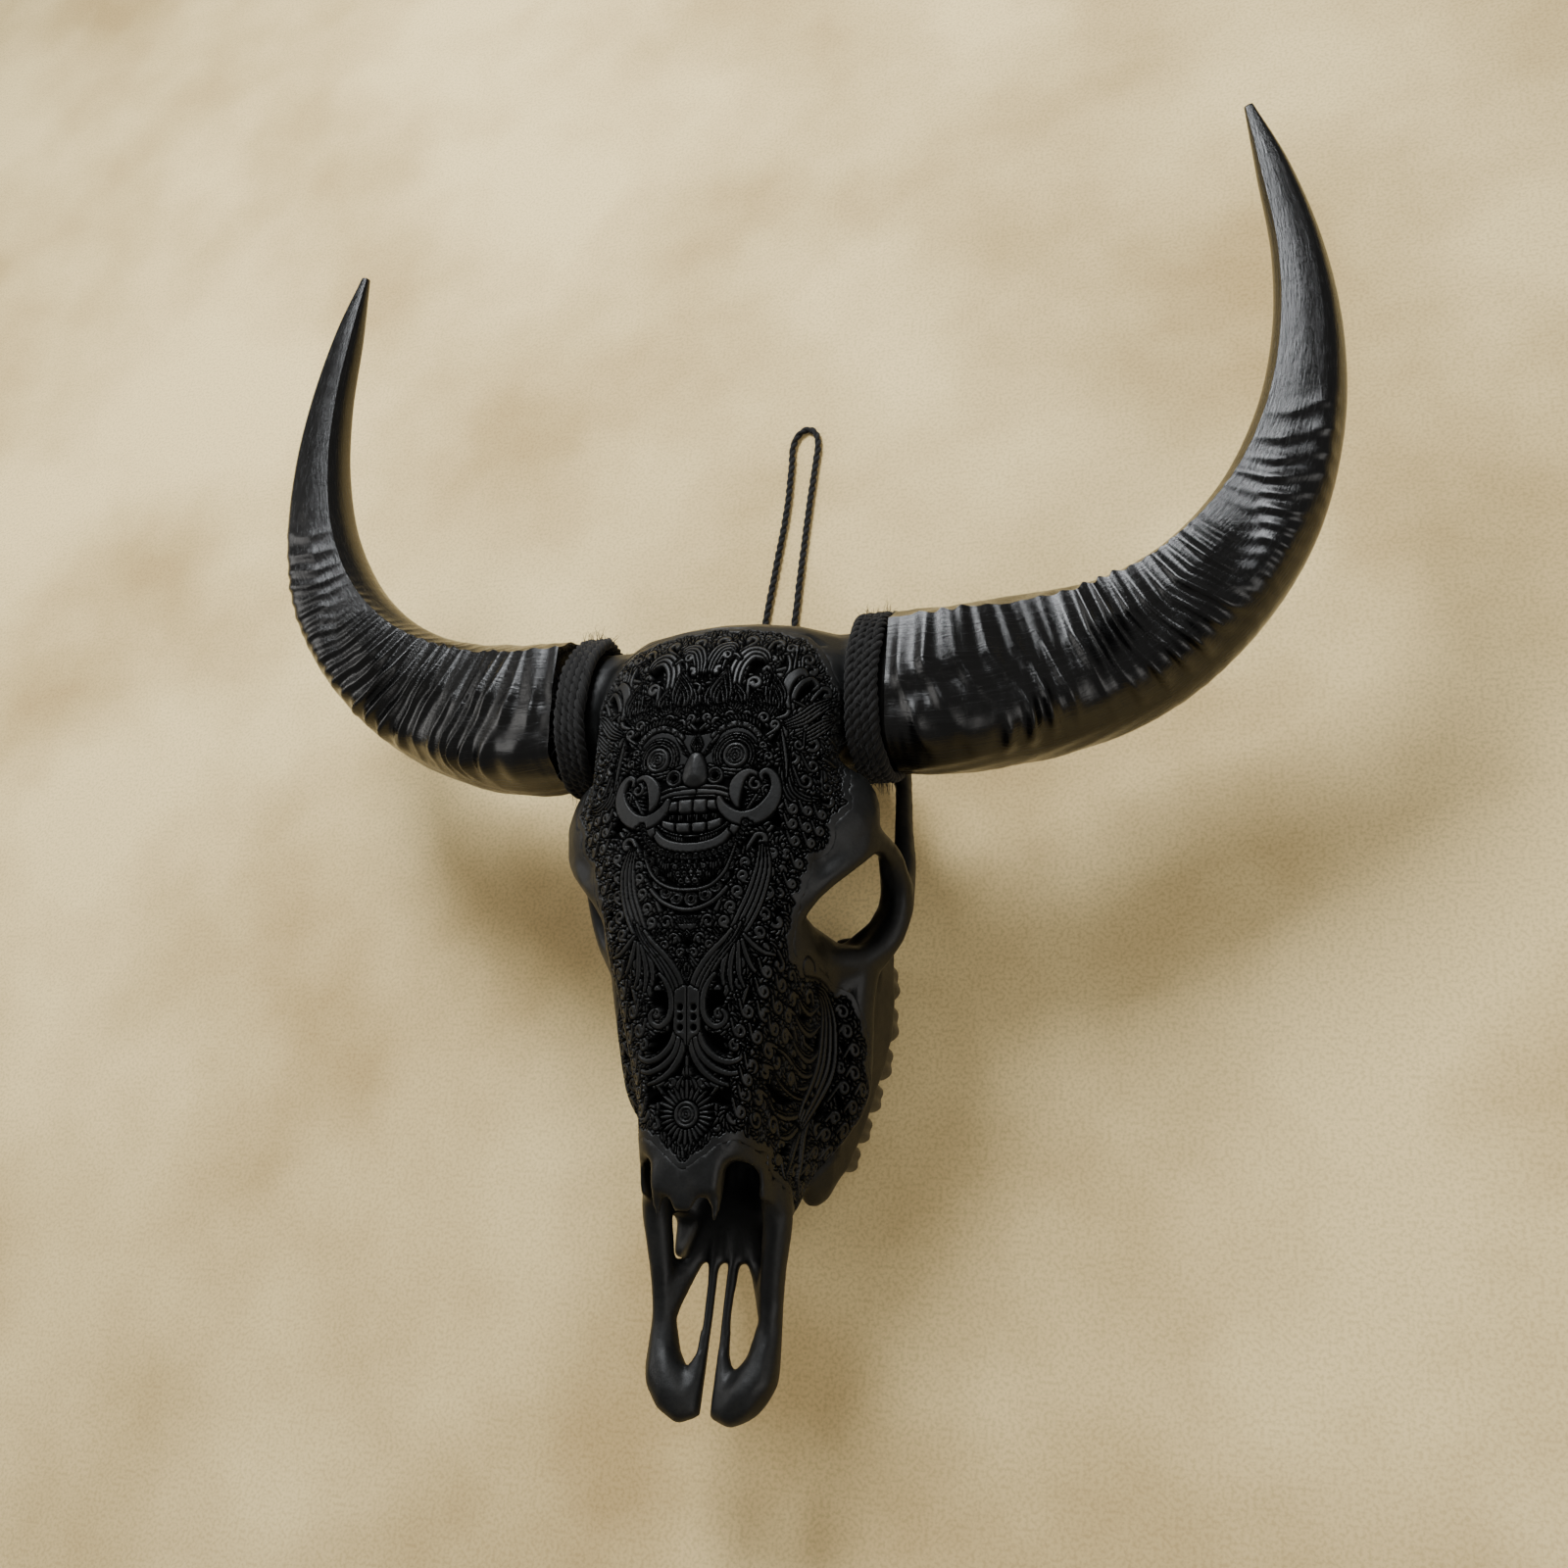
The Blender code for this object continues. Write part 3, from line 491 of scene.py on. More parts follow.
# %% Stained enamel
VEINS_TO_METRE = 170.0
VEIN_HEIGHT = 0.0005
enamel, tree, shader, place = new_finish("black_stained_tooth_enamel")
veins = noise(tree, place, VEINS_TO_METRE, 4.0)
tone = ramp(tree, veins, [(0.35, linear("#070707")), (0.7, linear("#17171a"))])
tree.links.new(tone, shader.inputs["Base Color"])
shader.inputs["Roughness"].default_value = 0.34
add_bump(tree, shader, veins, 0.25, VEIN_HEIGHT)
shader.inputs["IOR"].default_value = 1.6
print(enamel.name)

# %% [markdown]
# The panel on the forehead and face is real carving: the bone is drawn on with a pencil, and the ground
# between the strands is cut away with small gouges, up to 3 mm deep, and right through in places. Painting
# it on as a bump would look flat from the side, and modelling a thousand strands one by one would take
# weeks. So the carving is worked as its maker thinks of it: a flat drawing board, unrolled from the bone,
# that holds a height in millimetres about every half millimetre, and a few gouge strokes to draw on it.

# %% The drawing board
# all in millimetres: s runs to the right of the midline, t towards the crown
GRID = 0.55
COLUMNS = 569
ROWS = 641
S_REACH = GRID * (COLUMNS - 1) / 2
T_LOW = -289.0
T_HIGH = T_LOW + GRID * (ROWS - 1)
GROUND = -2.7
GAP = 0.95  # width of the channel beside a strand
WALL = 0.6  # half the width of a cut wall
HOLE_DEPTH = -7.0
EYE_DEPTH = -4.2
LEAST_EYE = 2.6  # radius of the smallest scroll that has an eye
LEAST_HALF = 0.15  # half the width of the finest strand
s_line = np.linspace(-S_REACH, S_REACH, COLUMNS)
t_line = np.linspace(T_LOW, T_HIGH, ROWS)
relief = np.zeros((len(t_line), len(s_line)))


def window(points, margin):
    """The part of the board round some points: its slices and the coordinates in it."""
    low = np.min(points, axis=0) - margin
    high = np.max(points, axis=0) + margin
    left = max(int((low[0] + S_REACH) / GRID), 0)
    right = min(int((high[0] + S_REACH) / GRID) + 2, len(s_line))
    bottom = max(int((low[1] - T_LOW) / GRID), 0)
    top = min(int((high[1] - T_LOW) / GRID) + 2, len(t_line))
    place = (slice(bottom, max(top, bottom)), slice(left, max(right, left)))
    s, t = np.meshgrid(s_line[place[1]], t_line[place[0]])
    return place, s, t


def curve(rows, steps=4):
    """A smooth line through rows of (s, t, half width)."""
    rows = np.array(rows, float)
    if len(rows) < 3:
        return rows
    fine = spline(rows, steps)
    fine[:, 2] = np.maximum(fine[:, 2], LEAST_HALF)
    return fine


def smooth_step(low, high, value):
    share = np.clip((value - low) / (high - low), 0, 1)
    return share * share * (3 - 2 * share)


def cut(place, edge, half, top, crown, floor, gap):
    """Leaves a rounded strand where edge is negative and cuts a channel just outside it."""
    rounding = np.minimum(half, 1.1)
    out = np.clip(1 + edge / rounding, 0, 1)
    height = top - crown * rounding * (1 - np.sqrt(1 - out ** 3 * 0.96))
    channel = floor * (1 - smooth_step(0.45, 1.0, edge / gap))
    old = relief[place]
    relief[place] = np.where(edge < 0, height, np.where(edge < gap, np.minimum(old, channel), old))


def strand(rows, top=-0.1, crown=0.55, floor=GROUND, gap=GAP, steps=4):
    """One gouged strand along a smooth line."""
    line = curve(rows, steps)
    place, s, t = window(line[:, :2], line[:, 2].max() + gap)
    if s.size == 0:
        return
    edge = np.full(s.shape, 1e3)
    half = np.ones(s.shape)
    for a, b in zip(line, line[1:]):
        run = b[:2] - a[:2]
        share = np.clip(((s - a[0]) * run[0] + (t - a[1]) * run[1]) / max(run @ run, 1e-9), 0, 1)
        width = a[2] + (b[2] - a[2]) * share
        away = np.hypot(s - a[0] - run[0] * share, t - a[1] - run[1] * share) - width
        closer = away < edge
        edge[closer] = away[closer]
        half[closer] = width[closer]
    cut(place, edge, half, top, crown, floor, gap)


def outline_distance(corners, s, t):
    """Distance to a closed outline, negative inside it."""
    edge = np.full(s.shape, 1e3)
    inside = np.zeros(s.shape, bool)
    for a, b in zip(corners, np.roll(corners, -1, axis=0)):
        run = b - a
        share = np.clip(((s - a[0]) * run[0] + (t - a[1]) * run[1]) / max(run @ run, 1e-9), 0, 1)
        edge = np.minimum(edge, np.hypot(s - a[0] - run[0] * share, t - a[1] - run[1] * share))
        if a[1] != b[1]:
            across = (t < max(a[1], b[1])) & (t >= min(a[1], b[1]))
            inside ^= across & (s < a[0] + (t - a[1]) * run[0] / run[1])
    return np.where(inside, -edge, edge)


def mound(corners, top=-0.1, crown=0.8, floor=GROUND, gap=GAP, dome=0.0):
    """A smooth raised field with a rounded edge, higher by dome in its middle."""
    corners = np.array(corners, float)
    place, s, t = window(corners, gap)
    edge = outline_distance(corners, s, t)
    deepest = max(-edge.min(), 0.1)
    rise = dome * np.sin(np.clip(-edge / deepest, 0, 1) * np.pi / 2)
    cut(place, edge, np.full(s.shape, 1.5), top + rise, crown, floor, gap)


def lower(corners, depth):
    """Cuts the ground down inside an outline, with a steep wall."""
    corners = np.array(corners, float)
    place, s, t = window(corners, WALL)
    edge = outline_distance(corners, s, t)
    level = depth * smooth_step(WALL, -WALL, edge)
    relief[place] = np.minimum(relief[place], np.where(edge < WALL, level, 1.0))


def oval(centre, radii, corners=24, start=0.0, end=360.0):
    """Points round an oval, or along a part of it."""
    angles = np.radians(np.linspace(start, end, corners, endpoint=end - start < 359.9))
    return np.stack([centre[0] + radii[0] * np.cos(angles), centre[1] + radii[1] * np.sin(angles)], 1)


def arc(centre, radii, start, end, half, **settings):
    """A strand along a part of an oval."""
    points = oval(centre, radii, 14, start, end)
    strand(np.column_stack([points, np.full(len(points), half)]), **settings)


def ringed_disc(centre, edges, top=-0.1, hole=0.0, dome=0.0):
    """A turned-looking boss with ring channels at the given radii, the last its edge."""
    outer = edges[-1]
    place, s, t = window(np.array([centre]), outer + GAP)
    away = np.hypot(s - centre[0], t - centre[1])
    cut(place, away - outer, np.full(s.shape, 1.2), top + dome * (1 - np.clip(away / outer, 0, 1) ** 2),
        0.8, GROUND, GAP)
    for radius in edges[:-1]:
        channel = (top - 1.5) * (1 - smooth_step(0.25, 0.75, np.abs(away - radius)))
        relief[place] = np.where(away < outer - 0.3, np.minimum(relief[place], channel + dome * 0.5),
                                 relief[place])
    if hole:
        pit = HOLE_DEPTH * (1 - smooth_step(hole - 0.4, hole + 0.3, away))
        relief[place] = np.minimum(relief[place], pit)


def scroll(base, centre, radius, hand, wide=0.85, lobes=5, turns=1.0, lobe=2.2):
    """A stem that curls in round a centre, with leaf teeth along its outside and an eye if it is large."""
    base = np.array(base, float)
    centre = np.array(centre, float)
    reach = max(np.hypot(*(base - centre)), radius * 1.02)
    first = math.atan2(base[1] - centre[1], base[0] - centre[0]) + hand * math.acos(radius / reach)
    for i in range(lobes):
        angle = first + hand * (0.5 + 3.9 * i / max(lobes - 1, 1))
        start = radius + wide * 0.7
        rows = []
        for share, half in ((0.0, 0.5), (0.55, 0.8), (1.0, 0.45)):
            turned = angle - hand * 0.5 * share
            far = start + lobe * share
            rows.append((centre[0] + far * math.cos(turned), centre[1] + far * math.sin(turned), half))
        strand(rows, steps=2, gap=0.75)
    rows = [(base[0], base[1], wide * 0.6)]
    count = 9
    for i in range(count + 1):
        share = i / count
        far = radius * (1 - 0.70 * share ** 1.9)
        angle = first + hand * turns * math.tau * share
        rows.append((centre[0] + far * math.cos(angle), centre[1] + far * math.sin(angle),
                     wide * (0.74 + 0.42 * share)))
    if radius > LEAST_EYE:
        lower(oval(centre, (radius * 0.62, radius * 0.62), 10), EYE_DEPTH)
    strand(rows, steps=2, gap=0.85)


def bundle(rows, count, spread, **settings):
    """Flat bands side by side along one line; spread is half their whole width at each row."""
    line = curve([(row[0], row[1], width) for row, width in zip(rows, spread)])
    along = unit(np.gradient(line[:, :2], axis=0))
    across = np.stack([-along[:, 1], along[:, 0]], 1)
    widths = np.maximum(line[:, 2] / count - 0.36, 0.3)
    for i in sorted(range(count), key=lambda k: -abs(k - (count - 1) / 2)):
        place = (i - (count - 1) / 2) / max((count - 1) / 2, 1)
        points = line[:, :2] + across * line[:, 2:] * place * (1 - 1 / count)
        strand(np.column_stack([points, widths]), steps=1, gap=0.8, **settings)


def engrave(rows, depth):
    """A thin line scratched into whatever is there."""
    line = curve(rows, 14)
    place, s, t = window(line[:, :2], 1.2)
    edge = np.full(s.shape, 9.0)
    for point in line:
        edge = np.minimum(edge, np.hypot(s - point[0], t - point[1]) - point[2])
    relief[place] = np.minimum(relief[place], -depth * (1 - smooth_step(0.0, 0.6, edge)))


def flame(foot, tip, width, lean=0.0, layers=3, half=0.0):
    """A flame or leaf: outlines inside each other from a foot to a leaning tip."""
    foot = np.array(foot, float)
    tip = np.array(tip, float)
    run = tip - foot
    side = np.array([-run[1], run[0]]) / np.linalg.norm(run)
    half = half or width / layers / 2 - 0.24
    for layer in range(layers):
        share = 1 - layer / layers
        for hand in (1, -1):
            rows = []
            for k, swell in ((0.0, 0.12), (0.22, 0.78), (0.45, 1.0), (0.72, 0.62), (1.0, 0.0)):
                far = 0.04 + k * (0.28 + 0.72 * share)
                bend = lean * math.sin(math.pi * far * 1.1)
                point = foot + run * far + side * (hand * swell * share * width + bend)
                rows.append((*point, half * (1 - 0.45 * k)))
            strand(rows, steps=3, gap=0.75)


def fan(centre, near, far, start, end, count, half=0.5, bend=0.0):
    """Strands that spread from a centre between two ovals."""
    for i in range(count):
        angle = math.radians(start + (end - start) * (i + 0.5) / count)
        rows = []
        for share, width in ((0.0, 0.6), (0.5, 1.0), (1.0, 0.55)):
            turned = angle + bend * share
            a = near[0] + (far[0] - near[0]) * share
            b = near[1] + (far[1] - near[1]) * share
            rows.append((centre[0] + a * math.cos(turned), centre[1] + b * math.sin(turned),
                         half * width))
        strand(rows, steps=2, gap=0.7)


def flip(side, rows):
    """Rows of the right half, mirrored to the left one if side is -1."""
    return [(side * row[0], *row[1:]) for row in rows]


def both(draw, rows, **settings):
    """Draws on the right and mirrored on the left."""
    for side in (1, -1):
        draw(flip(side, rows), **settings)


def curl(side, foot, centre, radius, turn, **settings):
    """A scroll of the right half, drawn on one side; turn is the way that it winds."""
    scroll(*flip(side, (foot, centre)), radius, turn * side, **settings)


print("drawing board", relief.shape)

# %% [markdown]
# The panel's border is where a leaf ends against plain bone. Inside it the ground is cut down first. The
# main figures are kept free, and the rest is filled with scrolls: the largest that fits goes in first, then
# smaller ones, as a carver does it, and each grows out of the flow round it.

# %% The border and the ground
BORDER = (
    (0, 57), (18, 56), (34, 54), (48, 52), (60, 48), (70, 37), (76, 24), (84, 15), (90, 8), (97, 0),
    (101, -8), (101, -18), (99, -30), (94, -42), (91, -50), (95, -58), (90, -63), (84, -67), (83, -76),
    (84, -86), (76, -88), (70, -92), (71, -102), (64, -106), (61, -110), (64, -118), (64, -130),
    (61, -142), (64, -152), (72, -157), (82, -160), (92, -158), (102, -157), (112, -159), (125, -159),
    (131, -168), (138, -182), (137, -196), (143, -201), (146, -207), (140, -216), (138, -224), (133, -232),
    (133, -244), (127, -252), (118, -260), (112, -270), (106, -280), (98, -280), (90, -275), (74, -266),
    (68, -256), (60, -250), (48, -252), (40, -250), (33, -247), (26, -249), (18, -253), (8, -262), (0, -268),
)
border = np.array(BORDER + tuple((-s, t) for s, t in reversed(BORDER[1:-1])), float)
lower(border, GROUND)
board_s, board_t = np.meshgrid(s_line, t_line)
panel_edge = outline_distance(border, board_s, board_t)
print("panel", round(float((panel_edge < 0).sum()) * GRID * GRID / 100), "square centimetres")

# %% Filling the ground with scrolls
KEPT_FREE = (
    # main figures on the right half, as outlines
    ((0, -12), (14, -9), (27, -7), (42, -12), (47, -22), (50, -36), (57, -46), (58, -60), (52, -70),
     (44, -77), (36, -84), (33, -97), (29, -112), (16, -126), (0, -131)),
    ((0, -131), (9, -131), (10, -139), (4, -143), (0, -143)),
    ((45, -92), (50, -92), (46, -118), (38, -138), (26, -156), (12, -171), (12, -198), (26, -218),
     (30, -232), (18, -236), (16, -252), (0, -262), (0, -170), (12, -158), (28, -138), (38, -118)),
)
CELL = 1.0


def disc_offsets(radius):
    reach = int(radius / CELL) + 1
    return [(i, j) for i in range(-reach, reach + 1) for j in range(-reach, reach + 1)
            if math.hypot(i, j) * CELL <= radius]


def pack_scrolls(seed, radii):
    """Places for scrolls on the right half: (s, t, radius), large ones first."""
    rng = np.random.default_rng(seed)
    s, t = np.meshgrid(np.arange(0, S_REACH, CELL), np.arange(T_LOW, T_HIGH, CELL))
    taken = outline_distance(border, s, t) > 0.5
    for outline in KEPT_FREE:
        taken |= outline_distance(np.array(outline, float), s, t) < 0
    found = []
    for radius in radii:
        closed = taken.copy()
        for i, j in disc_offsets(radius * 0.92):
            closed |= np.roll(taken, (i, j), (0, 1))
        closed[:, :int(radius)] = True
        while not closed.all():
            rows, columns = np.nonzero(~closed)
            pick = rng.integers(len(rows))
            r, c = rows[pick], columns[pick]
            found.append((s[r, c], t[r, c], radius))
            for i, j in disc_offsets(radius * 2):
                if 0 <= r + i < s.shape[0] and 0 <= c + j < s.shape[1]:
                    closed[r + i, c + j] = True
                    if math.hypot(i, j) * CELL <= radius:
                        taken[r + i, c + j] = True
    return found


def flow_root(s, t):
    """The point that a scroll at this place grows away from."""
    if t > -15:
        return s * 0.45, t - 30
    if t > -105:
        return s * 0.55, t - 14
    if s > 116:
        return s - 12, t + 12
    if s > 62:
        return s + 16, t - 10
    return s * 0.8 + 6, t + 26


FILL_RADII = (7.2, 5.9, 4.8, 3.7, 2.7, 1.9)
FILL_SEED = 7
LEAST_SCROLL = 3.0  # below this radius a place gets two leaves
LEAF = ((1.7, 0.5, 0.4), (0.4, 1.0, 0.75), (-0.8, 0.9, 0.7), (-1.7, 0.2, 0.4))
places = pack_scrolls(FILL_SEED, FILL_RADII)
for number, (s, t, radius) in enumerate(reversed(places)):
    root = np.array(flow_root(s, t)) - (s, t)
    root = root / np.hypot(*root)
    turn = 1 if number % 5 < 3 else -1
    for side in (1, -1):
        if radius > LEAST_SCROLL:
            curl(side, (s + root[0] * radius * 1.5, t + root[1] * radius * 1.5),
                 (s, t), radius * 0.60, turn, wide=0.75 + 0.12 * radius, turns=0.62,
                 lobes=int(3 + radius), lobe=radius * 0.42)
        else:
            across = np.array([-root[1], root[0]]) * radius * 0.5
            for way in (-1, 1):
                rows = []
                for run, bow, half in LEAF:
                    rows.append((side * (s + root[0] * radius * run + across[0] * way * bow),
                                 t + root[1] * radius * run + across[1] * way * bow, half))
                strand(rows, steps=2, gap=0.7)
print("scrolls", len(places) * 2)

# %% [markdown]
# Forehead: flame tufts stand side by side over the guardian's brow, hooked feathers curl outwards over
# them, and a smooth crescent feather closes each side. They are drawn from the back to the front, so that
# each next one cuts its outline into the one behind it.

# %% Forehead feathers and flames
FOREHEAD_PLUMES = (
    # the route of each, its number of bands, half its width at each point
    (((44, -8), (52, 8), (58, 24), (55, 36), (47, 40)), 3, (3.4, 4.6, 4.6, 3.8, 2.2)),
    (((26, -4), (21.5, 14), (22.5, 28), (29, 37), (37, 36), (41, 30)), 3, (2.6, 4.6, 5.4, 5.4, 4.4, 2.0)),
    (((2.6, 18), (3.4, 32), (8, 42), (15, 44), (19, 39)), 3, (1.8, 3.8, 4.2, 3.6, 1.8)),
    (((12, 24), (13.5, 32), (18, 36), (23, 32)), 2, (1.4, 2.8, 3.0, 1.6)),
)
for side in (1, -1):
    lower(flip(side, ((27.5, 5), (28, 20), (31, 31), (37, 33.5), (41, 29), (37, 24), (35, 14),
                      (31, 4))), -5.5)
    for route, bands, spread in FOREHEAD_PLUMES:
        bundle(flip(side, route), bands, spread)
    curl(side, (31, -2), (34.5, 14), 4.0, -1, wide=1.6, lobes=5, turns=0.95)
    curl(side, (8, 30), (13, 36), 2.8, -1, wide=1.1, lobes=0, turns=1.0)
    curl(side, (64, 18), (66, 33), 3.8, -1, wide=1.2, lobes=6)
    curl(side, (58, 12), (54, 41), 3.4, 1, wide=1.1, lobes=5)
    lower(flip(side, ((59, 6), (60, 14), (66, 19.5), (73, 17), (70, 10), (64, 3))), -7.0)
    strand(flip(side, [(57, -2, 1.2), (54.6, 8, 2.6), (57, 18, 3.3), (63, 23.5, 2.6), (67, 20.5, 1.1)]),
           top=0.2)
    strand(flip(side, [(60, -4, 0.8), (59.8, 6, 1.6), (64, 14.5, 1.8), (70, 19.0, 1.5), (74.5, 15, 1.3),
                       (72, 11.5, 0.8)]), top=0.0)
    curl(side, (60, 2), (66, -4), 3.4, -1, wide=1.1, lobes=6)
    lower(flip(side, ((1.6, 6), (6, 10), (5.6, 14.5), (2.4, 13.5), (3.4, 10))), -6.5)
FLAMES = (
    # foot, tip, width, lean and layers on the right half
    ((36, -6), (35, 8), 3.8, -0.4, 2), ((8, -4), (8.5, 16), 4.4, 0.8, 2),
    ((25, -4), (23, 13), 4.4, -0.8, 2), ((14, -4), (15.5, 23), 6.6, 1.6, 3),
    ((49, -8), (44.5, 22), 6.0, -1.4, 3),
)
for side in (1, -1):
    for foot, tip, width, lean, layers in FLAMES:
        flame(*flip(side, (foot, tip)), width, lean=side * lean, layers=layers)
    for centre, low, near in ((31, -10.5, 5.0), (9, -11.5, 5.2), (20, -10.5, 5.6), (42, -12.5, 5.6)):
        fan((side * centre, low), (near, near), (near + 5.5, near + 6.5), 28, 152, 11, half=0.55)
fan((0, -9), (3.4, 3.4), (8.0, 9.5), 30, 150, 9, half=0.55)
BROW_SCROLLS = (
    # foot, centre, radius and turn on the right half
    ((1.5, -16), (5.0, -8.5), 2.6, 1), ((6, -18), (11.5, -11.5), 2.8, 1),
    ((17, -15), (20.5, -8), 3.0, -1), ((27, -13), (31, -8), 2.8, 1),
    ((38, -15), (42, -9.5), 3.2, -1), ((44, -21), (49, -14), 2.8, 1),
)
for side in (1, -1):
    for foot, centre, radius, turn in BROW_SCROLLS:
        curl(side, foot, centre, radius, turn, wide=1.1, lobes=4)
print("forehead drawn")

# %% [markdown]
# The wings at the sides of the face are columns of hooks that follow each other down the temple, with long
# parallel strands bending outwards under them.

# %% Temple wings
for side in (1, -1):
    bundle(flip(side, [(56, -14), (66, -9), (76, 0), (84, 6)]), 4, (3.0, 4.4, 4.2, 2.6))
    bundle(flip(side, [(60, -24), (70, -19), (80, -11), (87, -6)]), 4, (3.0, 4.2, 4.0, 2.4))
    bundle(flip(side, [(58, -30), (57, -44), (61, -57), (70, -62), (80, -60)]), 5,
           (2.0, 4.4, 5.8, 5.6, 3.0))
    curl(side, (62, -40), (70, -48), 4.2, 1, wide=1.1, lobes=7)
    curl(side, (66, -30), (74, -38), 3.4, 1, wide=1.0, lobes=6)
    curl(side, (80, -40), (84, -50), 3.4, 1, wide=1.0, lobes=6)
    curl(side, (68, -18), (65, -26), 3.0, -1, wide=0.95, lobes=6)
    bundle(flip(side, [(53, -16), (55, -26), (57, -38), (58, -50)]), 2, (1.4, 2.6, 2.6, 1.4))
    for s, t, radius in ((63, -66, 2.9), (72, -66, 2.7), (81, -67, 2.6), (63, -75, 2.8), (72, -76, 2.9),
                         (80, -77, 2.6), (65, -85, 2.8), (75, -85, 2.5), (60, -93, 2.7), (68, -98, 2.6),
                         (58, -103, 2.6), (64, -110, 2.5), (57, -116, 2.4)):
        curl(side, (s - 5, t + 5), (s, t), radius, 1, wide=1.2, lobes=5, lobe=1.5)
    lower(flip(side, ((49, -70), (53, -68), (56, -72), (55, -77), (50, -76))), -7.0)
print("temples drawn")

# %% [markdown]
# The guardian face is a traditional figure of such carvings, drawn here with plain rings, arcs and mounds:
# round ringed eyes under leafy brows, a bell-shaped nose, curled tusks at the cheeks, two rows of flat
# teeth, a smooth lower lip and a beard of beads. The face field is cut down a little, and each form
# stands on it.

# %% The face field, brows and eyes
both(mound, [(0, -20), (14, -17), (30, -14), (42, -19), (47, -30), (50, -38), (40, -44), (26, -46),
             (0, -50)], top=-1.3, crown=0.3)
EYES = ((25.7, -33.4), (-26.2, -33.9))
for centre in EYES:
    side = 1 if centre[0] > 0 else -1
    for reach, half in ((13.6, 0.55), (11.7, 0.6), (9.9, 0.62)):
        arc(centre, (reach, reach), 90 - 118, 90 + 118, half)
    ringed_disc(centre, (1.3, 3.3, 5.4, 8.0), top=0.15, dome=1.1)
    arc((side * 25.5, -30.5), (17.5, 17.5), 35, 145, 1.9, top=0.0)
    for i in range(9):
        angle = math.radians(40 + 100 * i / 8)
        foot = (side * 25.5 + 16.2 * math.cos(angle), -30.5 + 16.2 * math.sin(angle))
        lean = angle + 0.5 * side * (1 if i % 2 else -1)
        tip = (foot[0] + 2.6 * math.cos(lean), foot[1] + 2.6 * math.sin(lean))
        strand([(*foot, 0.3), (*tip, 0.45)], top=0.1, floor=-1.3, gap=0.5, steps=1)
    fan((side * 25.5, -30.5), (19.8, 19.8), (23.4, 23.4), 42, 138, 15, half=0.62, bend=0.1 * side)
    fan((side * 25.5, -33.5), (14.6, 14.6), (18.4, 18.4), 150 if side < 0 else -22,
        202 if side < 0 else 30, 7, half=0.6)
    curl(side, (39, -33), (42.5, -27.5), 2.2, 1, wide=0.8, lobes=5)
    curl(side, (44, -40), (46.5, -34), 2.4, -1, wide=0.8, lobes=5)
for i in range(5):
    both(strand, [(4.2 + 1.4 * i, -34 + 2.2 * i, 0.5), (6.6 + 1.5 * i, -31.5 + 2.4 * i, 0.7),
                  (8.6 + 1.4 * i, -30.5 + 2.6 * i, 0.4)])
flame((0, -31.5), (0, -19.5), 3.4, layers=3, half=0.7)
both(strand, [(9, -39, 0.7), (17, -41.5, 0.9), (28, -43, 0.9), (38, -41, 0.8), (45, -38, 0.6)], top=-0.4)
both(strand, [(19, -44, 0.6), (27, -45.2, 0.8), (34, -43.6, 0.8), (42, -40.4, 0.5)], top=-0.4)
print("eyes drawn")

# %% Nose, nostrils and upper lip
for side in (1, -1):
    strand(flip(side, [(26, -60, 0.9), (20, -57.5, 1.4), (12, -56, 1.6), (0, -55.4, 1.6)]), top=-0.7)
    strand(flip(side, [(24, -55.5, 0.6), (17, -53, 0.9), (8, -52.3, 1.0), (0, -52.2, 1.0)]), top=-0.7)
    strand(flip(side, [(25, -61.5, 0.5), (14, -58.6, 0.6), (0, -58.2, 0.6)]), top=-0.8)
for centre in ((-14.1, -46.3), (13.3, -45.8)):
    ringed_disc(centre, (3.4, 5.2), top=0.1, hole=2.1)
mound([(-3.0, -31.5), (0, -30.6), (3.0, -31.5), (5.2, -35), (7.2, -39.5), (8.2, -44), (8.4, -47.5),
       (6.6, -50.8), (3, -52.6), (0, -53), (-3, -52.6), (-6.6, -50.8), (-8.4, -47.5), (-8.2, -44),
       (-7.2, -39.5), (-5.2, -35)], top=0.0, dome=2.6, crown=1.0)

# %% Mouth, teeth and lower lip
lower([(-21, -60), (0, -59.2), (20, -60), (23, -68), (26, -77), (20, -84), (8, -87), (-8, -87),
       (-20, -84), (-26, -77), (-23, -68)], -3.4)
UPPER_TEETH = ((-17.9, -9.9, -61.2, -67.4), (-9.5, -0.3, -60.6, -69.0), (0.5, 9.0, -60.6, -69.0),
               (9.4, 17.0, -61.2, -67.2))
for left, right, high, low in UPPER_TEETH:
    mound([(left + 0.6, high), (right - 0.6, high), (right, high - 0.8), (right - 0.2, low + 1.4),
           (right - 1.4, low), (left + 1.4, low), (left + 0.2, low + 1.4), (left, high - 0.8)],
          top=0.1, dome=0.5, gap=0.6)
LOWER_TEETH = ((-20.4, -11.3, 1.9), (-10.6, -0.9, 0.4), (0.2, 9.6, 0.4), (10.2, 19.4, 1.9))
for left, right, rise in LOWER_TEETH:
    tilt = rise * 0.55 * (1 if left > 0 else -1)
    high = -75.3 + rise
    mound([(left + 0.6, high - tilt), (right - 0.6, high + tilt), (right, high + tilt - 0.8),
           (right - 0.8, high + tilt - 5.2), (right - 1.8, high + tilt - 6.0),
           (left + 1.8, high - tilt - 6.0), (left + 0.8, high - tilt - 5.2), (left, high - tilt - 0.8)],
          top=0.1, dome=0.4, gap=0.6)
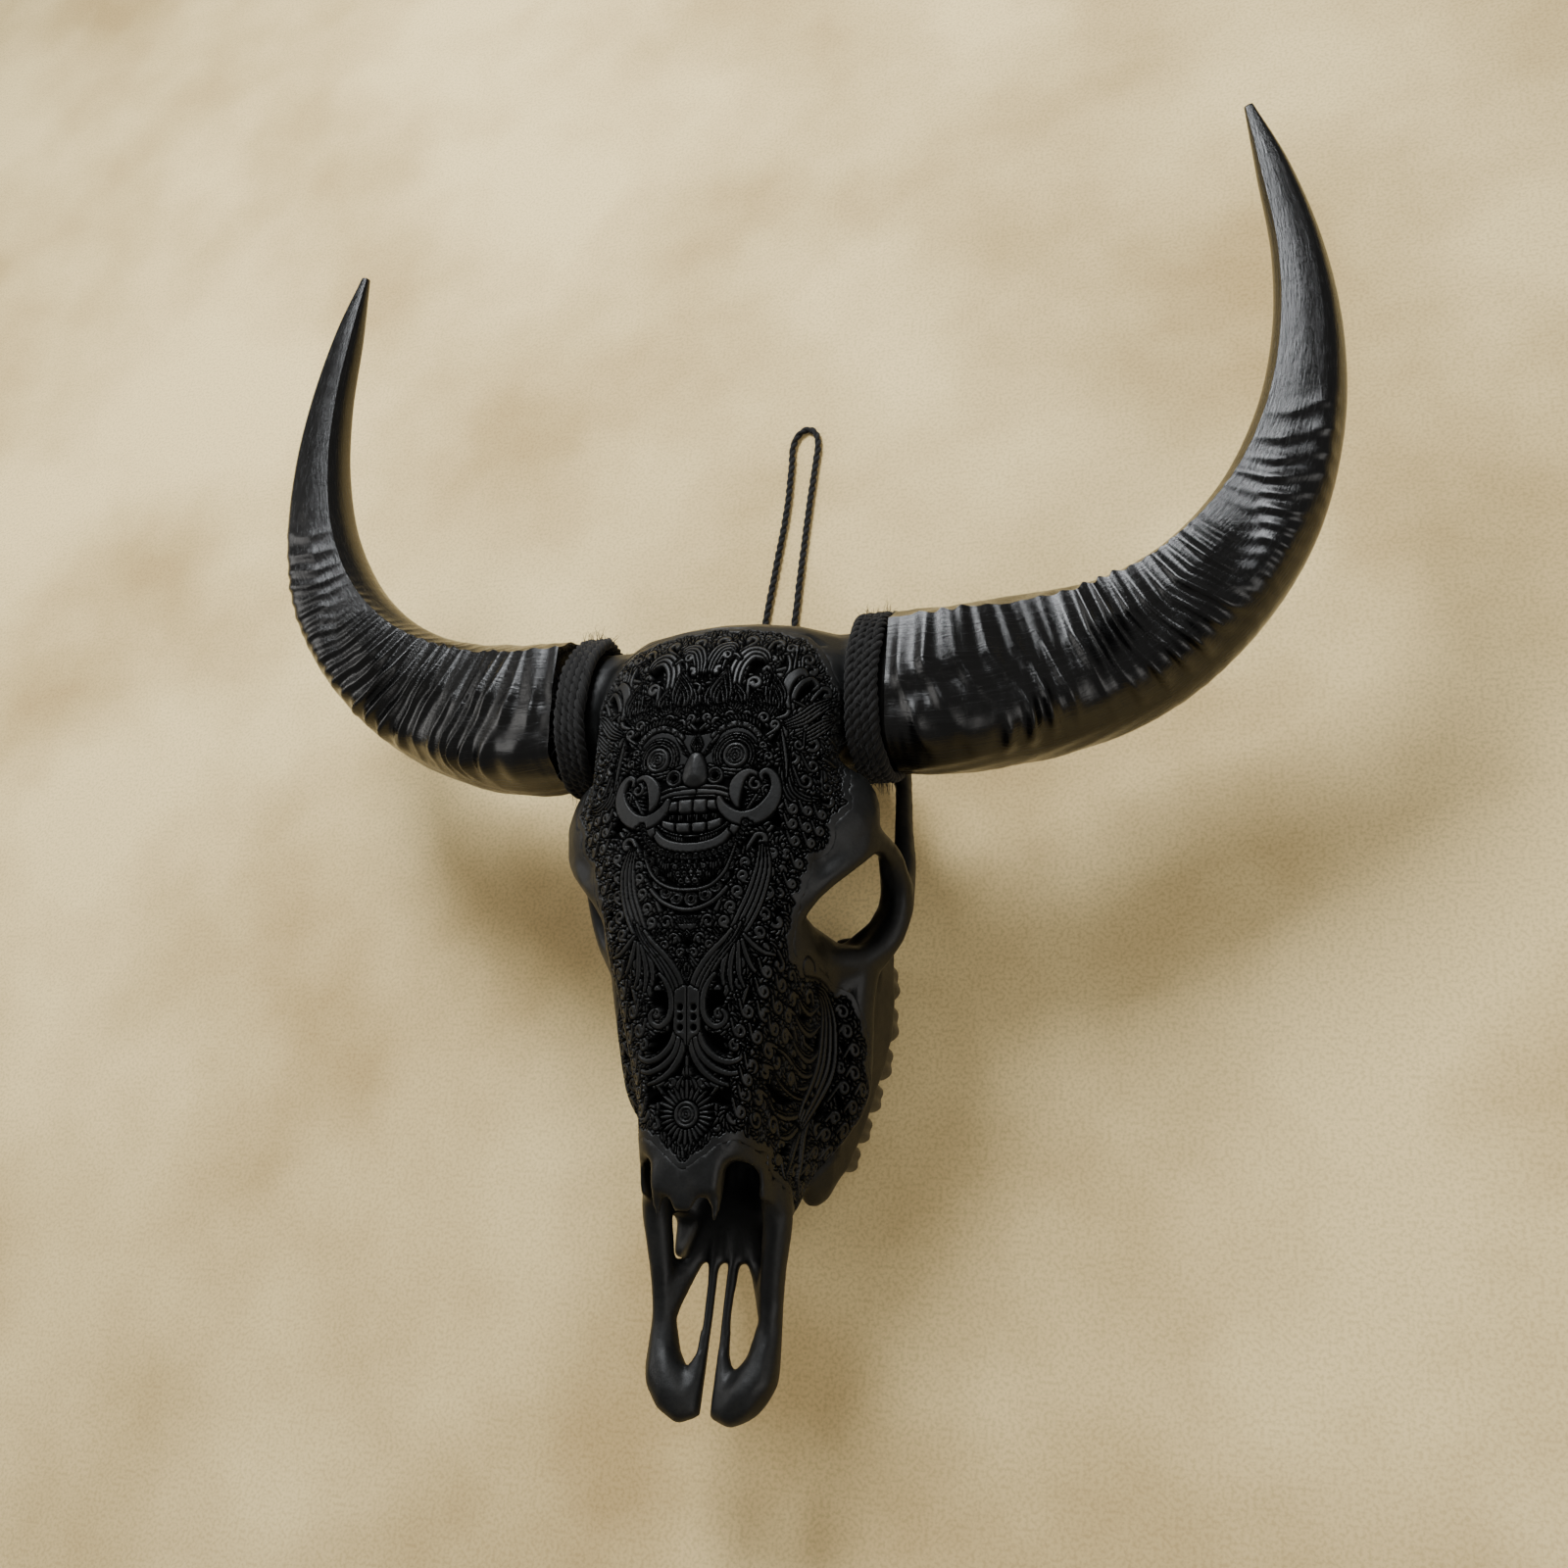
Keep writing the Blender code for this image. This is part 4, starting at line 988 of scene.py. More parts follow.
for i in range(25):
    s = -18 + 1.5 * i
    sag = 0.0055 * s * s
    strand([(s, -70.2 + sag * 0.4, 0.42), (s * 1.01, -73.3 + sag * 0.9, 0.38)], top=-0.9, gap=0.45,
           steps=1)
    strand([(s * 1.08, -83.4 + sag * 1.7, 0.42), (s * 1.06, -86.4 + sag * 1.8, 0.38)], top=-0.9, gap=0.45,
           steps=1)
arc((0, -66.5), (27, 16.6), 205, 335, 0.5, top=-0.5)
strand([(-26.5, -75, 0.9), (-23.4, -81.5, 2.1), (-17.5, -86.8, 2.9), (-9, -89.8, 3.2), (0, -90.7, 3.3),
        (9, -89.8, 3.2), (17.5, -86.8, 2.9), (23.4, -81.5, 2.1), (26.5, -75, 0.9)], top=0.3, crown=1.0)
both(mound, [(25.5, -75.5), (33.0, -74.5), (34.0, -80.5), (27.5, -82.8), (24.6, -80)], top=0.1, dome=0.3)
print("mouth drawn")

# %% Tusks and curled cheeks
for side in (1, -1):
    lower(flip(side, ((28, -44), (40, -41), (50, -44), (54, -54), (50, -66), (38, -71), (28, -68))), -3.0)
    for k in range(6):
        strand(flip(side, [(33.5 + 0.4 * k, -64.5 + 2.6 * k, 0.4), (38 + 0.8 * k, -62.5 + 2.2 * k, 0.62),
                           (43.5 + 0.7 * k, -60.5 + 1.4 * k, 0.4)]), top=-0.5, gap=0.7)
    curl(side, (35, -67), (39.5, -51.5), 4.4, 1, wide=1.0, lobes=7, turns=1.3)
    curl(side, (47, -64), (47, -55), 3.0, -1, wide=0.8, lobes=4, turns=1.0)
    strand(flip(side, [(28.8, -65, 1.3), (27.2, -59.5, 3.2), (27.4, -53, 4.2), (30, -47.6, 3.2),
                       (34.5, -44.2, 2.0), (39.0, -44.8, 1.4), (41, -47, 1.0)]), top=0.3, crown=0.9)
    strand(flip(side, [(17, -60.5, 1.6), (19.6, -66, 3.0), (25, -70.6, 3.8), (32, -72.8, 4.2),
                       (40, -71.4, 4.6), (46.8, -66.6, 4.9), (51.2, -59.5, 4.3), (52.2, -52.0, 3.2),
                       (50.0, -46.0, 2.4), (46.0, -43.2, 1.9), (42.6, -45.0, 1.4), (43.2, -48.4, 1.1)]),
           top=0.4, crown=0.9)
print("tusks drawn")

# %% [markdown]
# The beard hangs from the jaw as a fan of fine rays with a few small curls, a fringe of small discs, and a
# chain of ringed beads with a hole in each, between two smooth cords.

# %% Beard, rays and chain of beads
lower(np.vstack([oval((0, -73), (35, 25), 20, 180, 360), oval((0, -85), (32, 44.5), 20, 360, 180)]), -2.9)
fan((0, -74), (30.5, 28), (29, 38.5), 205, 335, 33, half=0.5)
for i in range(3):
    for k in range(5 - i):
        s = (k - (4 - i) / 2) * 4.6
        scroll((s, -97 - 5 * i), (s, -101.5 - 4.4 * i), 1.6, 1 if s >= 0 else -1, wide=0.65, lobes=4,
               lobe=1.0)
for i in range(25):
    angle = 186 + 168 * i / 24
    point = oval((0, -73), (34.5, 22.8), 2, angle, angle + 1)[0]
    ringed_disc(point, (0.75, 2.1), top=-0.1)
    outer = oval((0, -73), (37.4, 25.6), 2, angle, angle + 1)[0]
    strand([(*outer, 0.75), (*(outer + (outer - point) * 0.35), 0.6)], steps=1)
BEADS = ((2.3, -121.3), (-7.3, -120.4), (-14.3, -116.8), (-20.0, -110.8), (-24.2, -104.0), (-27.3, -97.4),
         (11.4, -118.8), (17.6, -113.6), (22.4, -107.2), (25.8, -100.4), (28.4, -94.0))
for centre in BEADS:
    size = 4.2 - 0.03 * max(centre[1] + 121, 0)
    ringed_disc(centre, (size * 0.64, size), top=0.3, hole=size * 0.26)
strand([(-31.5, -90, 0.5), (-28.5, -100, 0.75), (-22.5, -108.5, 0.85), (-13, -114.0, 0.9),
        (0, -116.0, 0.9), (13, -114.0, 0.9), (21.5, -107.0, 0.85), (26, -98, 0.75), (29, -88, 0.5)],
       top=0.1)
strand([(-34.5, -92, 0.5), (-31.5, -104, 0.8), (-25.5, -114.5, 1.0), (-15, -123.5, 1.1),
        (0, -127.6, 1.15), (15, -123.5, 1.1), (26.5, -112.5, 1.0), (31.5, -102, 0.8), (34.5, -90, 0.5)],
       top=0.1)
print("beard drawn")

# %% The pendant under the chain
mound([(-8.6, -130.4), (0, -131.4), (8.6, -130.4), (7.6, -135.5), (4.6, -139), (0, -140.6), (-4.6, -139),
       (-7.6, -135.5)], top=-0.6)
for i in range(7):
    arc((-6.6 + 2.2 * i, -129.6 - 0.3 * abs(3 - i)), (1.9, 2.6), 200, 340, 0.36, top=0.2, floor=-1.8,
        gap=0.5)
    arc((-5.5 + 1.85 * i, -132.6), (1.8, 2.6), 200, 340, 0.36, top=0.2, floor=-1.8, gap=0.5)
arc((0, -129.8), (9.6, 11.6), 188, 352, 0.75, top=0.1)
for side in (1, -1):
    curl(side, (8, -141), (13.5, -134.5), 3.6, -1, wide=1.0, lobes=7)
    curl(side, (22, -128), (22.5, -134), 3.0, 1, wide=0.95, lobes=6)
    curl(side, (3, -150), (8.5, -144.5), 3.0, -1, wide=0.95, lobes=7)
    curl(side, (1, -160), (4.2, -152.5), 2.6, -1, wide=0.9, lobes=6)
    curl(side, (12, -156), (14.5, -148), 2.5, 1, wide=0.85, lobes=6)
    flame((side * 17, -136), (side * 21.5, -144), 2.6, lean=0.8 * side, layers=2)
flame((0, -146), (0, -139.5), 2.6, layers=2)
fan((0, -152), (2.0, 2.0), (10, 13), 215, 325, 9, half=0.7)
flame((0, -158), (0, -169), 3.0, layers=2, half=0.7)
lower([(-4, -146.5), (0, -150), (4, -146.5), (0, -144.5)], -4.5)
print("pendant drawn")

# %% [markdown]
# Two plumes of long strands come down beside the beard and cross into a pair of smooth stems with three
# drilled dots each. The stems flare out round a small sun over the nose. Between them the real bone is cut
# right through; here the holes are cut deep and their floors are painted near black, as painted shade.

# %% Holes between the stems
HOLES = (
    ((12.4, -177), (14.6, -173.5), (22.4, -173.5), (24.4, -178), (22.6, -182), (18.8, -182.4),
     (17.6, -186.4), (14.6, -189), (12.2, -184)),
    ((10.4, -195.4), (14, -197), (20, -198.6), (25, -201), (26, -206), (28.4, -209), (22, -209),
     (15.4, -204.8), (11.8, -200)),
    ((1.4, -210.5), (4, -214.5), (9.5, -219), (13, -222.5), (9, -224), (4, -219.4), (1.6, -216)),
    ((13, -228.6), (16, -230), (22, -232), (29, -235.6), (22, -237.4), (15, -233)),
    ((16, -167), (17.4, -158), (20, -151), (22, -153), (20, -161), (19, -168)),
    ((23, -144), (27, -137), (30, -134), (31, -139), (27, -144)),
)
for corners in HOLES:
    for side in (1, -1):
        lower(flip(side, corners), -7.5)

# %% Plumes and twin stems
PLUMES = (
    ((-40, -88), (-43, -102), (-41.5, -117), (-36.5, -130), (-31, -141)),
    ((46, -88), (46.5, -102), (43, -117), (37.5, -130), (31.5, -141)),
)
PLUME_SCROLLS = (
    # foot, centre and radius, on the left half
    ((-40, -104), (-35.5, -99.5), 2.8), ((-41, -112), (-34.5, -107.5), 3.0),
    ((-39, -122), (-31.5, -117), 3.2), ((-36, -131), (-27.5, -126), 3.2),
    ((-33, -139), (-24, -134.5), 3.0), ((-45, -112), (-50, -104.5), 3.0),
    ((-44, -124), (-50, -116.5), 3.2), ((-41, -136), (-48, -129), 3.4),
    ((-37, -144), (-45.5, -140), 3.2), ((-46, -100), (-51.5, -93.5), 2.8),
)
FOUNTAIN = (
    # strands that hang from the end of each plume, with half their width
    ((29, -146, 1.0), (24.6, -155, 1.5), (22.8, -163, 1.4), (23.4, -170, 0.9)),
    ((31, -147, 1.0), (28.2, -156, 1.5), (27.2, -165, 1.4), (28.6, -173, 0.9)),
    ((33, -146, 1.0), (32.6, -155, 1.5), (33.0, -164, 1.4), (36, -171, 0.9)),
    ((35, -145, 1.0), (37.4, -153, 1.5), (41, -160, 1.4), (46, -164, 0.9)),
    ((36, -142, 1.0), (42, -147.5, 1.5), (48.5, -151, 1.3), (55, -151.5, 0.9)),
)
WAIST = (
    # strands that come together at the waist and flare out over the sun, with half their width
    ((8.8, -178, 1.0), (13.8, -167, 1.3), (19.4, -158, 1.3), (25.4, -150.5, 1.3), (31.4, -143, 1.0),
     (36, -133, 0.8)),
    ((6.8, -178, 1.0), (11.0, -167, 1.4), (16.4, -158, 1.5), (22.6, -150.6, 1.4), (29.2, -143.4, 1.1),
     (34, -135, 0.8)),
    ((4.6, -177, 1.2), (7.8, -167.4, 1.5), (13.2, -158.6, 1.6), (19.6, -151, 1.5), (26.4, -144, 1.2),
     (31, -137, 0.8)),
    ((2.2, -176, 1.4), (4.4, -167.6, 1.6), (9.4, -159.4, 1.7), (15.8, -152.2, 1.6), (23, -145.6, 1.4),
     (28.4, -139, 0.9)),
    ((18, -164, 1.0), (13.6, -169, 1.5), (10.6, -176, 1.7), (10.3, -184, 1.7), (12.8, -190.2, 1.7),
     (18, -193.6, 1.6), (23.2, -191.6, 1.5), (24.8, -187.4, 1.3), (22.6, -184.4, 1.1)),
    ((7.2, -194, 1.2), (9.2, -201.5, 1.6), (13.4, -207.4, 1.7), (20, -211.6, 1.7), (27, -212.8, 1.5),
     (33, -210.4, 1.2), (35, -206.6, 0.9)),
    ((4.6, -196, 1.4), (6.0, -204, 1.7), (9.8, -210.8, 1.8), (16.4, -216.0, 1.7), (24, -218.8, 1.5),
     (31, -218.4, 1.2), (34.5, -215.4, 0.9)),
    ((1.9, -197, 1.4), (2.6, -205, 1.6), (6.0, -213, 1.8), (11.8, -219.6, 1.7), (19, -223.8, 1.4),
     (26, -225.6, 0.9)),
)
for line in PLUMES:
    side = 1 if line[0][0] > 0 else -1
    for near, far, size in PLUME_SCROLLS:
        turn = -side if far[0] > near[0] else side
        scroll((side * -near[0], near[1]), (side * -far[0], far[1]), size, turn, wide=1.2, lobes=5)
    bundle(line, 4, (2.8, 5.4, 6.2, 6.4, 5.4), top=0.0)
for side in (1, -1):
    curl(side, (26, -190), (20.4, -186.4), 2.6, 1, wide=1.1, lobes=0)
    curl(side, (36, -203), (30, -203.4), 3.0, 1, wide=1.2, lobes=5)
    curl(side, (4.5, -228), (9.4, -225.4), 2.5, -1, wide=1.1, lobes=4)
    curl(side, (15, -232), (17.6, -224.6), 2.8, 1, wide=1.1, lobes=5)
    for rows in FOUNTAIN + WAIST:
        strand(flip(side, rows), top=0.0, gap=0.75)
    mound(flip(side, ((0.45, -171), (2.4, -170.4), (5.2, -172), (7.6, -173), (8.2, -178), (8.2, -188),
                      (8.6, -195), (7.2, -198), (4.6, -199), (2.2, -201), (0.45, -206))), top=0.1,
          dome=0.2, crown=0.4, gap=0.6)
    for t in (-182.8, -188.4, -194.2):
        ringed_disc((side * 4.3, t), (1.2,), top=-1.2, hole=1.05)
for s, top_end, low_end in ((0, -208, -230), (3.0, -216, -231), (5.8, -221.5, -231.5)):
    for side in ((1, -1) if s else (1,)):
        middle = (top_end + low_end) / 2
        strand(flip(side, [(s * 0.5, top_end, 0.4), (s, middle, 1.15), (s * 1.1, low_end, 0.8)]), gap=0.7)
print("stems drawn")

# %% The small sun over the nose
SUN = (0.0, -242.6)
for i in range(26):
    angle = math.radians(90 + 360 * i / 26)
    far = 17.5 + (5.5 if i == 0 else 0.0) + 1.2 * math.sin(3 * angle)
    rows = []
    for reach, half in ((8.6, 0.5), (12.5, 1.05), (far, 0.4)):
        rows.append((SUN[0] + reach * math.cos(angle), SUN[1] + reach * 0.96 * math.sin(angle), half))
    strand(rows, steps=2, top=-0.2, gap=0.75)
ringed_disc(SUN, (7.9,), top=0.0)
ringed_disc(SUN, (1.0, 3.0, 5.2, 7.6), top=0.1, dome=0.6)
engrave([(20, -247, 0.25), (14, -252, 0.3), (10, -255.5, 0.3), (6, -261, 0.25), (2, -267, 0.15)], 1.8)
engrave([(10, -255.5, 0.2), (11, -259, 0.15), (9, -263, 0.12)], 1.8)
print("sun drawn")

# %% [markdown]
# The cheek plates turn down at the sides of the face. On each a plume grows like a tree: a trunk of long
# strands with a curled head, feathers that sweep into it from the nose side, and leaves along its far side.

# %% Plumes of the cheek plates
CHEEK_GAPS = (
    ((49, -217), (54, -221.5), (60, -225.4), (68, -227.8), (76, -227.2), (84, -223.8), (80, -222.4),
     (72, -222.2), (64, -220.6), (57, -216.6), (53, -213.6)),
    ((99.4, -197), (102, -190), (105, -181), (107.6, -181), (106.6, -189), (103.6, -196)),
    ((82, -178.6), (89, -178.4), (95, -175.2), (90, -174.4), (84, -175.4)),
    ((120.6, -183), (124, -190), (128, -195), (129, -191), (125, -185)),
    ((118.6, -212), (120.8, -218), (124.6, -224), (127, -221), (122.4, -214)),
    ((106, -231), (107.6, -223), (112, -216), (111.6, -226)),
    ((72, -256), (76, -250.6), (82, -247), (79.6, -253), (75, -259)),
    ((98, -256), (101, -262), (106, -268), (105, -262), (101, -255.6)),
)
CHEEK_FEATHERS = (
    # route, half its width at each point, then the centre and radius of its curled end
    (((104, -166), (95, -172.6), (86, -171.8), (78, -168.4)), (1.8, 3.4, 3.2, 1.8), (72.5, -171.0), 3.2),
    (((107, -176), (97, -183.4), (86, -182.2), (76, -178.0)), (1.8, 3.6, 3.4, 1.8), (69.6, -180.4), 3.5),
    (((109, -188), (98, -197.2), (86, -196.0), (76, -190.6)), (1.8, 3.6, 3.4, 1.8), (68.6, -191.6), 3.5),
    (((107, -200), (96, -206.4), (84, -205.4), (72, -200.8), (60, -199.4)), (1.8, 3.2, 3.4, 2.8, 1.6),
     (53.4, -202.8), 3.8),
    (((102, -209), (94, -213.4), (86, -215.2)), (1.8, 3.0, 2.0), (79.5, -212.2), 3.3),
    (((98, -219), (88, -220.4), (76, -219.0), (66, -216.2), (58, -211.2)), (1.4, 2.2, 2.2, 2.0, 1.4),
     (51.4, -214.4), 3.4),
    (((99, -224), (90, -229.6), (78, -233.0), (66, -232.2), (55, -226.6)), (1.8, 3.2, 3.4, 2.8, 1.4),
     (47.6, -229.0), 3.8),
    (((96, -229), (88, -238.0), (80, -243.6), (71, -245.0)), (1.8, 3.4, 3.4, 2.2), (64.8, -240.6), 4.6),
    (((94, -236), (88, -247), (83, -258), (77, -268)), (1.8, 3.4, 3.2, 1.6), (70.6, -259.0), 3.0),
)
CHEEK_LEAVES = (
    (123, -166, 3.7), (125.6, -177, 3.6), (131, -187, 3.4), (121.4, -198, 3.0), (131, -200, 3.8),
    (124, -209, 3.3), (138.4, -208, 3.8), (131.6, -219, 3.6), (120.6, -226, 3.2), (129.4, -232, 3.8),
    (116.6, -236, 3.4), (126.4, -245, 3.8), (111, -247, 3.4), (117.6, -256, 3.6), (106.4, -258, 3.0),
    (108.6, -269, 3.4),
)
for side in (1, -1):
    for corners in CHEEK_GAPS:
        lower(flip(side, corners), -6.5)
    for s, t, radius in CHEEK_LEAVES:
        curl(side, (s - 9, t - 8), (s, t), radius, -1, wide=1.35, lobes=6)
    for route, spread, centre, radius in CHEEK_FEATHERS:
        bundle(flip(side, route), 2, spread, top=0.0)
        curl(side, route[-1], centre, radius, 1, wide=1.55, lobes=5)
    bundle(flip(side, [(103, -226), (97, -240), (95.6, -254), (98.4, -267), (103, -279)]), 2,
           (2.2, 3.6, 3.6, 3.0, 1.2), top=0.0)
    bundle(flip(side, [(97, -159), (107, -161), (112.8, -168), (114, -182), (112, -198), (105.5, -213),
                       (97.5, -226), (92, -236)]), 4, (1.8, 4.6, 5.8, 6.4, 7.2, 7.2, 6.0, 3.0), top=0.1)
    for s, t in ((104, -213.5), (100.4, -218.6), (96.6, -223.4)):
        ringed_disc((side * s, t), (1.0,), top=-1.0, hole=0.9)
    for s, t, radius in ((46, -241, 4.6), (37, -229, 3.6), (34, -239, 3.2), (41, -213, 3.8),
                         (33, -195, 3.4), (44, -197, 3.4), (38, -184, 3.4), (49, -184, 3.6),
                         (57, -190, 3.4), (59, -178, 3.4), (48, -172, 3.2), (61, -166, 3.4),
                         (50, -161, 3.0), (38, -221, 3.0)):
        curl(side, (s - 5, t + 6), (s, t), radius, 1, wide=1.35, lobes=5)
    engrave(flip(side, [(93, -151, 0.2), (90, -147, 0.25), (84, -145.6, 0.25), (79.6, -148.4, 0.25),
                        (79, -153, 0.25), (82.6, -156, 0.25), (90, -155, 0.25), (100, -153.8, 0.3),
                        (110, -154.6, 0.3), (117, -158.6, 0.3)]), 1.4)
print("relief from", round(float(relief.min()), 1), "to", round(float(relief.max()), 1), "mm")

# %% [markdown]
# Now the drawing goes back on the bone. The CAD skull is unrolled: rays shot at it from all round find its
# surface, row by row, and the distance along each row from the midline gives every point its place on the
# drawing board. A light smoothing takes the CAD model's facets out.

# %% Unrolling the skull's surface
skull_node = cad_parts["skull"]
skull_points = np.array([v.co for v in skull_node.data.vertices])
skull_tree = BVHTree.FromPolygons([Vector(p) for p in skull_points],
                                  [tuple(f.vertices) for f in skull_node.data.polygons])
ROW_STEP = 0.0025
WIDEST_RAY = 125  # degrees from straight up
RAYS = 151
RAY_REACH = 0.3
ray_rows = np.arange(-0.2975, 0.0776, ROW_STEP)
ray_angles = np.radians(np.linspace(-WIDEST_RAY, WIDEST_RAY, RAYS))


def axis_height(y):
    """Height of the line inside the skull that the rays aim at."""
    return np.interp(y, [-0.3, -0.2, 0.0], [0.100, 0.100, 0.130])


surface = np.full((len(ray_rows), len(ray_angles), 3), np.nan)
for i, y in enumerate(ray_rows):
    for j, angle in enumerate(ray_angles):
        out = Vector((math.sin(angle), 0, math.cos(angle)))
        start = Vector((0, y + FRAME_SHIFT, float(axis_height(y)))) + out * RAY_REACH
        hit = skull_tree.ray_cast(start, -out, RAY_REACH)[0]
        if hit is not None:
            surface[i, j] = hit
missed = np.isnan(surface[..., 0])
full_rows = np.flatnonzero((~missed).sum(axis=1) > len(ray_angles) // 2)
for i in full_rows:
    for k in range(3):
        surface[i, :, k] = np.interp(np.arange(len(ray_angles)), np.flatnonzero(~missed[i]),
                                     surface[i, ~missed[i], k])
for i in range(len(ray_rows)):
    nearest = full_rows[np.argmin(np.abs(full_rows - i))]
    if nearest != i:
        surface[i] = surface[nearest] + [0, ray_rows[i] - ray_rows[nearest], 0]
steps = np.linalg.norm(np.diff(surface[..., [0, 2]], axis=1), axis=2)
ray_s = np.concatenate([np.zeros((len(ray_rows), 1)), np.cumsum(steps, 1)], 1) * 1000
ray_s -= ray_s[:, len(ray_angles) // 2][:, None]
print("surface rows", surface.shape)


# %% The board's points and normals on the bone
def blurred(values, sigma):
    """A soft average over sigma cells, along both directions."""
    reach = int(sigma * 3)
    weights = np.exp(-0.5 * (np.arange(-reach, reach + 1) / sigma) ** 2)
    weights /= weights.sum()
    for axis in (0, 1):
        pad = [(0, 0)] * values.ndim
        pad[axis] = (reach, reach)
        wide = np.pad(values, pad, mode="edge")
        total = np.zeros_like(values, float)
        for i, weight in enumerate(weights):
            part = [slice(None)] * values.ndim
            part[axis] = slice(i, i + values.shape[axis])
            total += weight * wide[tuple(part)]
        values = total
    return values


rows_on_s = np.stack([np.stack([np.interp(s_line, ray_s[i], surface[i, :, k]) for k in range(3)], -1)
                      for i in range(len(ray_rows))])
row_place = np.clip((t_line / 1000 - ray_rows[0]) / ROW_STEP, 0, len(ray_rows) - 1.001)
row_floor = row_place.astype(int)
row_share = (row_place - row_floor)[:, None, None]
board = rows_on_s[row_floor] * (1 - row_share) + rows_on_s[row_floor + 1] * row_share
SMOOTHING = 3.4 / GRID  # 3.4 mm, in cells
board = blurred(board, SMOOTHING)
board_normal = unit(np.cross(np.gradient(board, axis=1), np.gradient(board, axis=0)))
print("board on the bone", board.shape)

# %% How deep the bone allows the cuts to be
TILE = 8  # fine cells to one coarse cell
DEEPEST = 0.0100
SHALLOWEST = 0.0038
DEPTH_SHARE = 0.62  # how much of the bone's thickness the panel takes
PROBE_START = 0.003  # metres under the surface, clear of its own facets
PANEL_FLOOR = 0.7  # millimetres that stay under the deepest cut
coarse = board[::TILE, ::TILE]
coarse_normal = board_normal[::TILE, ::TILE]
thickness = np.full(coarse.shape[:2], DEEPEST * 2)
for i in range(coarse.shape[0]):
    for j in range(coarse.shape[1]):
        start = Vector(coarse[i, j] - coarse_normal[i, j] * PROBE_START)
        hit = skull_tree.ray_cast(start, Vector(-coarse_normal[i, j]), DEEPEST * 2)[0]
        if hit is not None:
            thickness[i, j] = (hit - start).length + PROBE_START
thickness = blurred(thickness, 1.0)
back_depth = np.clip(thickness * DEPTH_SHARE, SHALLOWEST, DEEPEST)


def on_fine_grid(values):
    """Coarse values at every fine point."""
    wide = np.stack([np.interp(np.arange(COLUMNS), np.arange(0, COLUMNS, TILE), row) for row in values])
    return np.stack([np.interp(np.arange(ROWS), np.arange(0, ROWS, TILE), wide[:, j])
                     for j in range(COLUMNS)], 1)


fine_depth = on_fine_grid(back_depth)
relief = np.maximum(relief, -(fine_depth * 1000 - PANEL_FLOOR))
print("back depth", [round(float(d) * 1000, 1) for d in (back_depth.min(), back_depth.max())], "mm")

# %% [markdown]
# Each tile of the panel is a closed piece: the carved face in front, a coarse back inside the bone, and a
# rim round it. Past the last leaf the tile goes on as plain bone for a few millimetres and then dips under
# the surface of the skull's body, so that no edge shows.

# %% Where the panel ends
drawn = (np.abs(relief) > 0.02).astype(float)
nearness = blurred(drawn, 3.0 / GRID)
# the dip under the bone begins at EDGE_IN of the nearness, steepens at EDGE_MID and ends at EDGE_OUT
EDGE_IN = 0.115
EDGE_MID = 0.06
EDGE_OUT = 0.02
dip = 0.14 * smooth_step(EDGE_IN, EDGE_MID, nearness) + 2.6 * smooth_step(EDGE_MID, EDGE_OUT, nearness)
height = (relief * (nearness > EDGE_OUT / 2) - dip) / 1000
carved = board + board_normal * height[..., None]
by_tile = nearness[:-1, :-1].reshape(ROWS // TILE, TILE, COLUMNS // TILE, TILE).max(axis=(1, 3))
kept = by_tile > EDGE_OUT * 0.6


# %% Carved tiles
def carved_tile(name, first_column, last_column):
    """A closed piece with the carved face between two coarse columns."""
    here = kept.copy()
    here[:, :first_column] = False
    here[:, last_column:] = False
    fine = np.repeat(np.repeat(here, TILE, 0), TILE, 1)
    rows, columns = np.nonzero(fine)
    corner = rows * COLUMNS + columns
    quads = np.stack([corner, corner + 1, corner + COLUMNS + 1, corner + COLUMNS], 1)
    front_used = np.unique(quads)
    front_index = np.full(ROWS * COLUMNS, -1)
    front_index[front_used] = np.arange(len(front_used))
    faces = [tuple(row) for row in front_index[quads].tolist()]
    wide = coarse.shape[1]
    rows, columns = np.nonzero(here)
    corner = rows * wide + columns
    back_quads = np.stack([corner, corner + wide, corner + wide + 1, corner + 1], 1)
    back_used = np.unique(back_quads)
    back_index = np.full(coarse.shape[0] * wide, -1)
    back_index[back_used] = len(front_used) + np.arange(len(back_used))
    faces += [tuple(row) for row in back_index[back_quads].tolist()]
    full = np.pad(here, 1)
    for i, j in zip(rows, columns):
        # each side: is it open, its two coarse corners in turn, and the fine steps between them
        for open_side, start, end in ((not full[i, j + 1], (i, j), (i, j + 1)),
                                      (not full[i + 2, j + 1], (i + 1, j + 1), (i + 1, j)),
                                      (not full[i + 1, j], (i + 1, j), (i, j)),
                                      (not full[i + 1, j + 2], (i, j + 1), (i + 1, j + 1))):
            if open_side:
                run = [((start[0] * (TILE - k) + end[0] * k), (start[1] * (TILE - k) + end[1] * k))
                       for k in range(TILE + 1)]
                front = [int(front_index[r * COLUMNS + c]) for r, c in reversed(run)]
                faces.append(tuple(front + [int(back_index[start[0] * wide + start[1]]),
                                            int(back_index[end[0] * wide + end[1]])]))
    back_points = (coarse - coarse_normal * back_depth[..., None]).reshape(-1, 3)[back_used]
    tile = mesh_object(name, np.concatenate([carved.reshape(-1, 3)[front_used], back_points]), faces)
    # painted shade: the cuts darken with their depth, and the tile's back, seen only through the holes, is
    # painted fully dark
    painted_cut_shade = smooth_step(0.7, 2.3, -relief)
    set_attribute(tile, "cut_depth", np.concatenate([painted_cut_shade.ravel()[front_used], np.ones(len(back_used))]))
    select_only(tile)
    bpy.ops.object.shade_smooth_by_angle(angle=math.radians(75))
    return tile


for name, first_column, last_column in (("carved_panel_left", 0, 26), ("carved_panel_middle", 26, 45),
                                        ("carved_panel_right", 45, 71)):
    finish_piece(carved_tile(name, first_column, last_column), bone, "bone")

